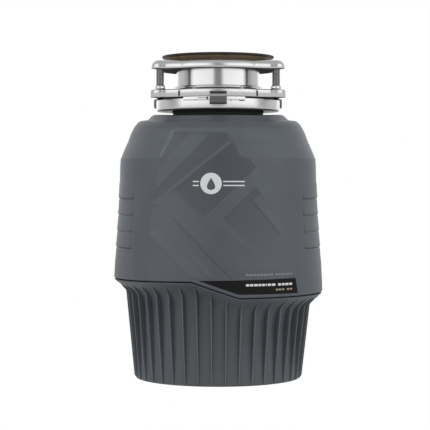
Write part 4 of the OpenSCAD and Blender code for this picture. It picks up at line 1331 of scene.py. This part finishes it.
labelParts = [layOnWall("plate", label["corners"], label["lift"], label["sink"], finishes["label"],
                        label["across"],
                        label["up"], label["edge"])]
for z, high, widths, finish, lift in (
        (marks["rowZ"], marks["rowHigh"], marks["wide"], "printLight", label["lift"] + 0.05),
        (marks["smallZ"], marks["smallHigh"], marks["smallWide"], "printTan", label["lift"] + 0.05),
        (marks["lineZ"], marks["lineHigh"], marks["lineWide"], "printGrey", 0.12)):
    labelParts += markRow(marks["rowRight"], z, high, widths, marks["gap"], finishes[finish], lift)
finishPiece(joined("frontLabel", labelParts, 40), "housing", "label_black", "front_label")

badgeSizes = {"x": -6.9, "z": 197.6, "radius": 10.3, "dropHigh": 12.0, "lift": 0.3,
              "rules": ((-24.4, -18.6), (4.8, 25.4))}


def layOutline(name, outline, lift, sink, material, rings=6):
    # a closed outline in X and Z around its middle, laid on the wall as a thin disc
    outline = np.array(outline, dtype=float)
    middle = outline.mean(axis=0)
    layers = [(1.0, -sink), (1.0, lift - 0.1), (0.985, lift)]
    layers += [(1 - k / rings, lift) for k in range(1, rings)]
    points = []
    for share, off in layers:
        for x, z in middle + (outline - middle) * share:
            r = float(wallRadius(z)) + off
            a = math.asin(x / r)
            points.append((r * math.sin(a) * mm, -r * math.cos(a) * mm, z * mm))
    faces = quadBands(len(layers), len(outline)) + endCaps(len(layers), len(outline))
    return meshPiece(name, points, faces, material, 40)


def dropOutline(x, z, high, count=48):
    # a plain water drop, pointed at the top
    out = []
    for k in range(count):
        t = 2 * math.pi * k / count
        wide = math.sin(t) * math.sin(t / 2) ** 1.6
        out.append((x + high * 0.48 * wide, z + high * (0.5 * math.cos(t) - 0.02)))
    return out


def circleOutline(x, z, radius, count=64):
    return [(x + radius * math.cos(2 * math.pi * k / count), z + radius * math.sin(2 * math.pi * k / count))
            for k in range(count)]


badgeParts = [layOutline("disc", circleOutline(badgeSizes["x"], badgeSizes["z"], badgeSizes["radius"]),
                         badgeSizes["lift"], 0.5, finishes["printLight"])]
badgeParts.append(layOutline("drop", dropOutline(badgeSizes["x"], badgeSizes["z"], badgeSizes["dropHigh"]),
                             badgeSizes["lift"] + 0.04, 0.1, finishes["printDark"]))
for low, high in badgeSizes["rules"]:
    for z in (badgeSizes["z"] - 1.9, badgeSizes["z"] + 1.9):
        badgeParts.append(layOnWall("rule", ((low, z - 0.6), (high, z - 0.6), (high, z + 0.6),
                                             (low, z + 0.6)),
                                    0.42, 0.6, finishes["printLight"], 12, 1))
finishPiece(joined("roundBadge", badgeParts, 40), "housing", "badge_light", "badge")
print("label and badge built")


# Discharge: outlet boss, rubber sleeve, clamps and elbow, all along +Y

outlet = {"z": 146.4, "bendY": 133.4, "bendR": 28.0,
          "pipeR": 19.05,
          "pipeWall": 1.6}


def alongY(piece, z):
    # stands a piece turned about Z along +Y at a height
    return placed(piece, shift(0, 0, z) @ turnOn("X", -90))


outletBoss = alongY(turned("outletBoss", [
    (20.2, 94.0), (29.5, 94.0), (28.6, 101.5, 1.5), (27.4, 104.4, 1.2), (24.9, 104.9, 0.5),
    (20.2, 104.9, 0.5)],
    finishes["casingPlain"], 120), outlet["z"])
finishPiece(outletBoss, "housing", "casing_grey")
sleeve = alongY(turned("tailpipeSleeve", [
    (20.15, 105.5), (24.3, 105.5, 0.8), (24.5, 106.6, 0.3), (24.1, 107.0), (24.1, 113.8), (24.55, 114.2, 0.4),
    (24.55, 120.6, 0.4), (24.1, 121.0), (24.1, 127.8), (24.5, 128.2, 0.3), (24.2, 129.4, 0.9),
    (19.2, 129.4, 0.6),
    (19.2, 110.6), (20.15, 110.0)], finishes["rubber"], 120), outlet["z"])
finishPiece(sleeve, "housing", "black_rubber", "tailpipe_mount")


def buildClamps():
    # worm-drive bands: grooved band, housing on top and a screw head
    clampSizes = {"starts": (106.9, 120.9), "wide": 7.0, "inner": 24.6, "outer": 25.5, "notches": 34}
    parts = []
    for start in clampSizes["starts"]:
        low, high = start, start + clampSizes["wide"]
        band = turned("band", [
            (clampSizes["inner"], low + 0.3), (clampSizes["outer"], low, 0.3),
            (clampSizes["outer"] + 0.3, low + 0.8, 0.2),
            (clampSizes["outer"], low + 1.4, 0.2), (clampSizes["outer"], high - 1.4, 0.2),
            (clampSizes["outer"] + 0.3, high - 0.8, 0.2), (clampSizes["outer"], high, 0.3),
            (clampSizes["inner"], high - 0.3)],
            finishes["plated"], 120)
        parts.append(alongY(band, outlet["z"]))
        for k in range(clampSizes["notches"]):
            lean = 40 + k * 280 / (clampSizes["notches"] - 1)
            notch = prism("notch", [(-0.35, low + 1.9), (0.35, low + 1.9), (0.95, high - 1.9),
                                    (0.25, high - 1.9)],
                          clampSizes["outer"] - 0.2, clampSizes["outer"] + 0.06, finishes["rubber"])
            parts.append(placed(notch, shift(0, 0, outlet["z"]) @ turnOn("Y", lean)))
        top = outlet["z"] + 25.55
        outline = filleted([(-6.8, low + 0.6, 1.0), (6.8, low + 0.6, 1.0), (6.8, high - 0.6, 1.0),
                            (-6.8, high - 0.6, 1.0)], 4)
        parts.append(prism("wormBox", outline, top - 0.6, top + 4.8, finishes["plated"], 0.9))
        worm = turned("wormHead", [(0.0, -7.0), (2.3, -7.0, 0.4), (2.3, -6.0), (0.0, -6.0)],
                      finishes["ground"], 24)
        parts.append(placed(worm, shift(0, (low + high) / 2, top + 2.4) @ turnOn("Y", 90)))
    return joined("hoseClamps", parts, 34)


finishPiece(buildClamps(), "housing", "plated_steel", "hose_clamps")


def sweptTube(name, stations, material, segments=72):
    # rings across a path in the YZ plane; each station is y, z, heading in degrees and radius
    points = []
    for y, z, heading, radius in stations:
        a = math.radians(heading)
        side = np.array([0.0, -math.sin(a), math.cos(a)])
        for k in range(segments):
            t = 2 * math.pi * k / segments
            p = np.array([0.0, y, z]) + radius * (math.cos(t) * np.array([1.0, 0, 0]) + math.sin(t) * side)
            points.append(tuple(p * mm))
    return meshPiece(name, points, quadBands(len(stations), segments, True), material, 34)


def buildElbow():
    pipeR, wall = outlet["pipeR"], outlet["pipeWall"]
    z, bendY, bendR = outlet["z"], outlet["bendY"], outlet["bendR"]
    path = [(110.5, z, 0), (129.6, z, 0), (130.0, z, 0), (130.4, z, 0), (131.6, z, 0), (132.0, z, 0),
            (bendY, z, 0)]
    bead = [0, 0, 0.9, 1.3, 1.3, 0.9, 0]
    for t in range(6, 91, 6):
        a = math.radians(t)
        path.append((bendY + bendR * math.sin(a), z - bendR * (1 - math.cos(a)), -t))
        bead.append(0)
    low = z - bendR
    for down in (3.0, 20.0, 38.6, 39.4, 40.0):
        path.append((bendY + bendR, low - down, -90))
        bead.append(-0.5 if down > 39.9 else 0)
    outer = [(y, h, heading, pipeR + b) for (y, h, heading), b in zip(path, bead)]
    inner = [(y, h, heading, pipeR - wall) for y, h, heading in reversed(path)]
    inner[0] = (inner[0][0], inner[0][1], inner[0][2], pipeR - wall + 0.4)
    return sweptTube("dischargeElbow", outer + inner, finishes["blackPlastic"])


finishPiece(buildElbow(), "housing", "black_plastic", "discharge_elbow")

# Dishwasher inlet, turned along its own axis and laid out towards the back left
inlet = {"z": 206.0, "azimuth": 135.0, "pipeR": 11.1, "bore": 8.5, "start": 75.4, "end": 126.4}
nipple = [(inlet["bore"], inlet["start"]), (inlet["pipeR"], inlet["start"]), (inlet["pipeR"], 103.4),
          (14.1, 103.4, 0.4), (14.1, 106.4, 0.8), (inlet["pipeR"] + 0.6, 106.4, 0.4), (inlet["pipeR"], 107.0)]
for k in range(3):
    ridge = 116.6 + 3.4 * k
    nipple += [(inlet["pipeR"] - 0.35, ridge - 2.9), (inlet["pipeR"], ridge - 0.25, 0.1),
               (inlet["pipeR"] - 0.5, ridge)]
nipple += [(inlet["pipeR"] - 0.5, 125.6), (inlet["pipeR"] - 1.2, inlet["end"], 0.3),
           (inlet["bore"] + 0.5, inlet["end"], 0.3),
           (inlet["bore"], inlet["end"] - 0.7)]
layNipple = turnOn("Z", inlet["azimuth"]) @ shift(0, 0, inlet["z"]) @ turnOn("Y", 90)
inletNipple = placed(turned("dishwasherInlet", nipple, finishes["blackPlastic"], 72), layNipple)
finishPiece(inletNipple, "housing", "black_plastic", "dishwasher_inlet")
inletBoss = placed(turned("inletBoss", [
    (11.3, 94.0), (18.4, 94.0), (17.6, 100.6, 1.2), (16.4, 102.8, 0.9), (14.4, 103.2, 0.3),
    (11.3, 103.2, 0.3)],
    finishes["casingPlain"], 80), layNipple)
finishPiece(inletBoss, "housing", "casing_grey")
print("discharge and inlet built")


# Underside: cover, its screws, the wiring plate and the button

underside = {"bossR": 77.0, "bossAngles": (90.0, 215.0, 325.0), "headR": 3.9, "headLow": 1.05, "headTop": 3.0}


def buildCoverScrewTree():
    # pan-head screws on a ring of points
    corners = ("First", "Second", "Third")
    tree, source, sink = geometryTree("coverScrewRing", {
        "Screw": "Object", "Radius": "Float", **{corner: "Float" for corner in corners}})
    shape = objectShape(tree, source["Screw"])
    both = tree.nodes.new("GeometryNodeJoinGeometry")
    for corner in corners:
        x = mathNode(tree, "MULTIPLY", mathNode(tree, "COSINE", source[corner]), source["Radius"])
        y = mathNode(tree, "MULTIPLY", mathNode(tree, "SINE", source[corner]), source["Radius"])
        moved = addNode(tree, "GeometryNodeTransform", {
            "Geometry": shape, "Translation": addNode(tree, "ShaderNodeCombineXYZ", {0: x, 1: y}).outputs[0],
            "Rotation": addNode(tree, "ShaderNodeCombineXYZ", {2: source[corner]}).outputs[0]})
        feed(tree, both, {0: moved.outputs[0]})
    return finishTree(tree, both.outputs[0], sink, finishes["plated"])


def buildPanScrew():
    body = turned("panScrew", [
        (0.0, underside["headLow"]), (2.2, underside["headLow"], 0.6),
        (underside["headR"], underside["headLow"] + 0.9, 0.7),
        (underside["headR"], underside["headTop"], 0.1), (1.95, underside["headTop"]), (1.95, 12.2),
        (0.8, 13.0), (0.0, 13.0)],
        finishes["plated"], 32)
    arms = []
    for turn in (0, 90):
        arm = prism("recess", [(-2.3, -0.45), (2.3, -0.45), (2.3, 0.45), (-2.3, 0.45)], 0.0, 2.3,
                    finishes["plated"])
        arms.append(placed(arm, turnZ(turn)))
    return cutAway("panScrewCut", body, arms)


panScrew = buildPanScrew()
coverScrews = applyTree("coverScrews", buildCoverScrewTree(), {
    "Screw": panScrew, "Radius": underside["bossR"] * mm,
    "First": math.radians(underside["bossAngles"][0]), "Second": math.radians(underside["bossAngles"][1]),
    "Third": math.radians(underside["bossAngles"][2])}, finishes["plated"])
bpy.data.objects.remove(panScrew)
finishPiece(coverScrews, "housing", "plated_steel", "cover_screws")

for name, node, finish, slot, width in (
        ("bottomCover", "bottom_cover", "coverPaint", "painted_cover", 0.3),
        ("wiringPlate", "wiring_cover", "coverPaint", "painted_cover", 0.3),
        ("terminalBox", "terminal_box", "plated", "plated_steel", 0.25),
        ("overloadProtector", "overload_protector", "blackPlastic", "black_plastic", 0.5),
        ("startSwitch", "start_switch", "blackPlastic", "black_plastic", 0.5)):
    copy = softenedCopy(name, node, finishes[finish], width)
    finishPiece(evaluatedMesh(name, copy), "housing", slot, node)

button = {"x": 44.0, "y": -30.0, "radius": 5.0, "low": 1.0, "top": 10.5}
resetButton = turned("resetButton", [
    (0.0, button["low"] + 0.35), (2.6, button["low"] + 0.2), (3.9, button["low"], 0.5),
    (button["radius"], button["low"] + 0.9, 0.7),
    (button["radius"], button["top"], 0.3), (0.0, button["top"])], finishes["red"], 48)
placed(resetButton, shift(button["x"], button["y"], 0))
finishPiece(resetButton, "reset", "red_plastic", "reset_button")
print("underside built")


# Finishes on the nodes that keep the frame's own shape

slotFinish = {
    "stainless": "stainless", "plated_steel": "plated", "spring_steel": "ground",
    "cast_aluminium": "castAluminium",
    "cast_frame": "castFrame", "lamination": "lamination", "copper": "copper", "bronze": "bronze",
    "black_rubber": "rubber", "black_plastic": "blackPlastic", "housing_plastic": "housingPlastic",
    "ivory_plastic": "ivory", "red_plastic": "red", "lead_insulation": "wire", "green_screw": "greenScrew",
    "painted_cover": "coverPaint", "blanket": "blanket", "foam": "foam", "casing_grey": "casing",
    "base_grey": "base", "label_black": "label", "badge_light": "printLight",
}
for part in frame["record"]["subparts"]:
    solid = frame["nodes"][part["node"]]
    if not solid.material_slots:
        solid.data.materials.append(None)
    for holder in solid.material_slots:
        holder.material = finishes[slotFinish[part["material_slot"]]]


# Floor, backdrop and light

stageSizes = {
    "half": 6.0, "floorTone": 0.55, "rampShare": 0.8,
    "worldTones": ((0, 0.21), (8, 0.24), (15, 1.0), (72, 1.15), (84, 0.34), (97, 0.38), (110, 0.55),
                   (135, 0.6), (155, 1.15), (180, 1.15)),
    "topTone": 0.42, "lowTone": 0.45,
    "sidePower": 6.0, "fillPower": 2.2,
}


def addFloor():
    # pale floor that glows softly and is clear from below, so that the underside can be looked at
    half = stageSizes["half"]
    mesh = bpy.data.meshes.new("paleFloor")
    mesh.from_pydata([(-half, -half, 0), (half, -half, 0), (half, half, 0), (-half, half, 0)], [],
                     [(0, 1, 2, 3)])
    material, tree, shader = newFinish("paleFloor")
    tone = rangeNode(tree, noiseNode(tree, objectPlace(tree), 3.0), stageSizes["floorTone"] * 0.98,
                     stageSizes["floorTone"])
    seen = tree.nodes.new("ShaderNodeLightPath").outputs["Is Camera Ray"]
    glow = addNode(tree, "ShaderNodeEmission", {"Strength": mathNode(tree, "MAXIMUM", tone, seen)})
    sides = addNode(tree, "ShaderNodeMixShader", {
        0: tree.nodes.new("ShaderNodeNewGeometry").outputs["Backfacing"], 1: glow.outputs[0],
        2: tree.nodes.new("ShaderNodeBsdfTransparent").outputs[0]})
    feed(tree, tree.nodes["Material Output"], {"Surface": sides.outputs[0]})
    tree.nodes.remove(shader)
    mesh.materials.append(material)
    linked("paleFloor", mesh)


def addPanel(name, place, aim, width, height, power, glossy=True):
    lamp = bpy.data.lights.new(name, "AREA")
    lamp.shape = "RECTANGLE"
    lamp.size = width
    lamp.size_y = height
    lamp.energy = power
    panel = linked(name, lamp)
    panel.location = place
    panel.rotation_euler = (Vector(aim) - Vector(place)).to_track_quat("-Z", "Y").to_euler()
    panel.visible_glossy = glossy


def blendValues(tree, factor, first, second):
    # first where the factor is 0, second where it is 1
    kept = mathNode(tree, "MULTIPLY", first, mathNode(tree, "SUBTRACT", 1.0, factor))
    return mathNode(tree, "ADD", kept, mathNode(tree, "MULTIPLY", factor, second))


def addWorld():
    # a white tent: panels to the left and right of the front, a dark strip straight ahead and at each side
    world = bpy.data.worlds.new("studio")
    world.use_nodes = True
    tree = world.node_tree
    place = tree.nodes.new("ShaderNodeTexCoord").outputs["Generated"]
    x, y, z = addNode(tree, "ShaderNodeSeparateXYZ", {0: place}).outputs
    turn = mathNode(tree, "ARCTAN2", mathNode(tree, "ABSOLUTE", x), mathNode(tree, "MULTIPLY", y, -1.0))
    ramp = addNode(tree, "ShaderNodeValToRGB", {0: mathNode(tree, "DIVIDE", turn, math.pi)})
    band = ramp.color_ramp
    for degrees, tone in stageSizes["worldTones"]:
        if degrees in (0, 180):
            stop = band.elements[0 if degrees == 0 else -1]
        else:
            stop = band.elements.new(degrees / 180)
        stop.position = degrees / 180
        # the ramp holds each tone as a share, since its colours stay under 1
        stop.color = (*[tone * stageSizes["rampShare"]] * 3, 1)
    around = mathNode(tree, "MULTIPLY", ramp.outputs[0], 1 / stageSizes["rampShare"])
    tent = blendValues(tree, rangeNode(tree, z, 0.0, 1.0, 0.45, 0.8), around, stageSizes["topTone"])
    tent = blendValues(tree, rangeNode(tree, z, 1.0, 0.0, -0.5, -0.1), tent, stageSizes["lowTone"])
    # the camera itself sees plain white
    seen = tree.nodes.new("ShaderNodeLightPath").outputs["Is Camera Ray"]
    feed(tree, tree.nodes["Background"], {"Color": (1, 1, 1, 1),
                                          "Strength": blendValues(tree, seen, tent, 1.0)})
    bpy.context.scene.world = world


addFloor()
addWorld()
addPanel("leftPanel", (-1.4, -0.35, 0.45), (0, 0, 0.2), 0.7, 1.2, stageSizes["sidePower"], False)
addPanel("rightPanel", (1.4, -0.35, 0.45), (0, 0, 0.2), 0.7, 1.2, stageSizes["sidePower"], False)
addPanel("frontFill", (0, -1.6, 0.35), (0, 0, 0.15), 1.0, 0.8, stageSizes["fillPower"], False)
bpy.context.scene.view_settings.view_transform = "Standard"
print("stage and light set")
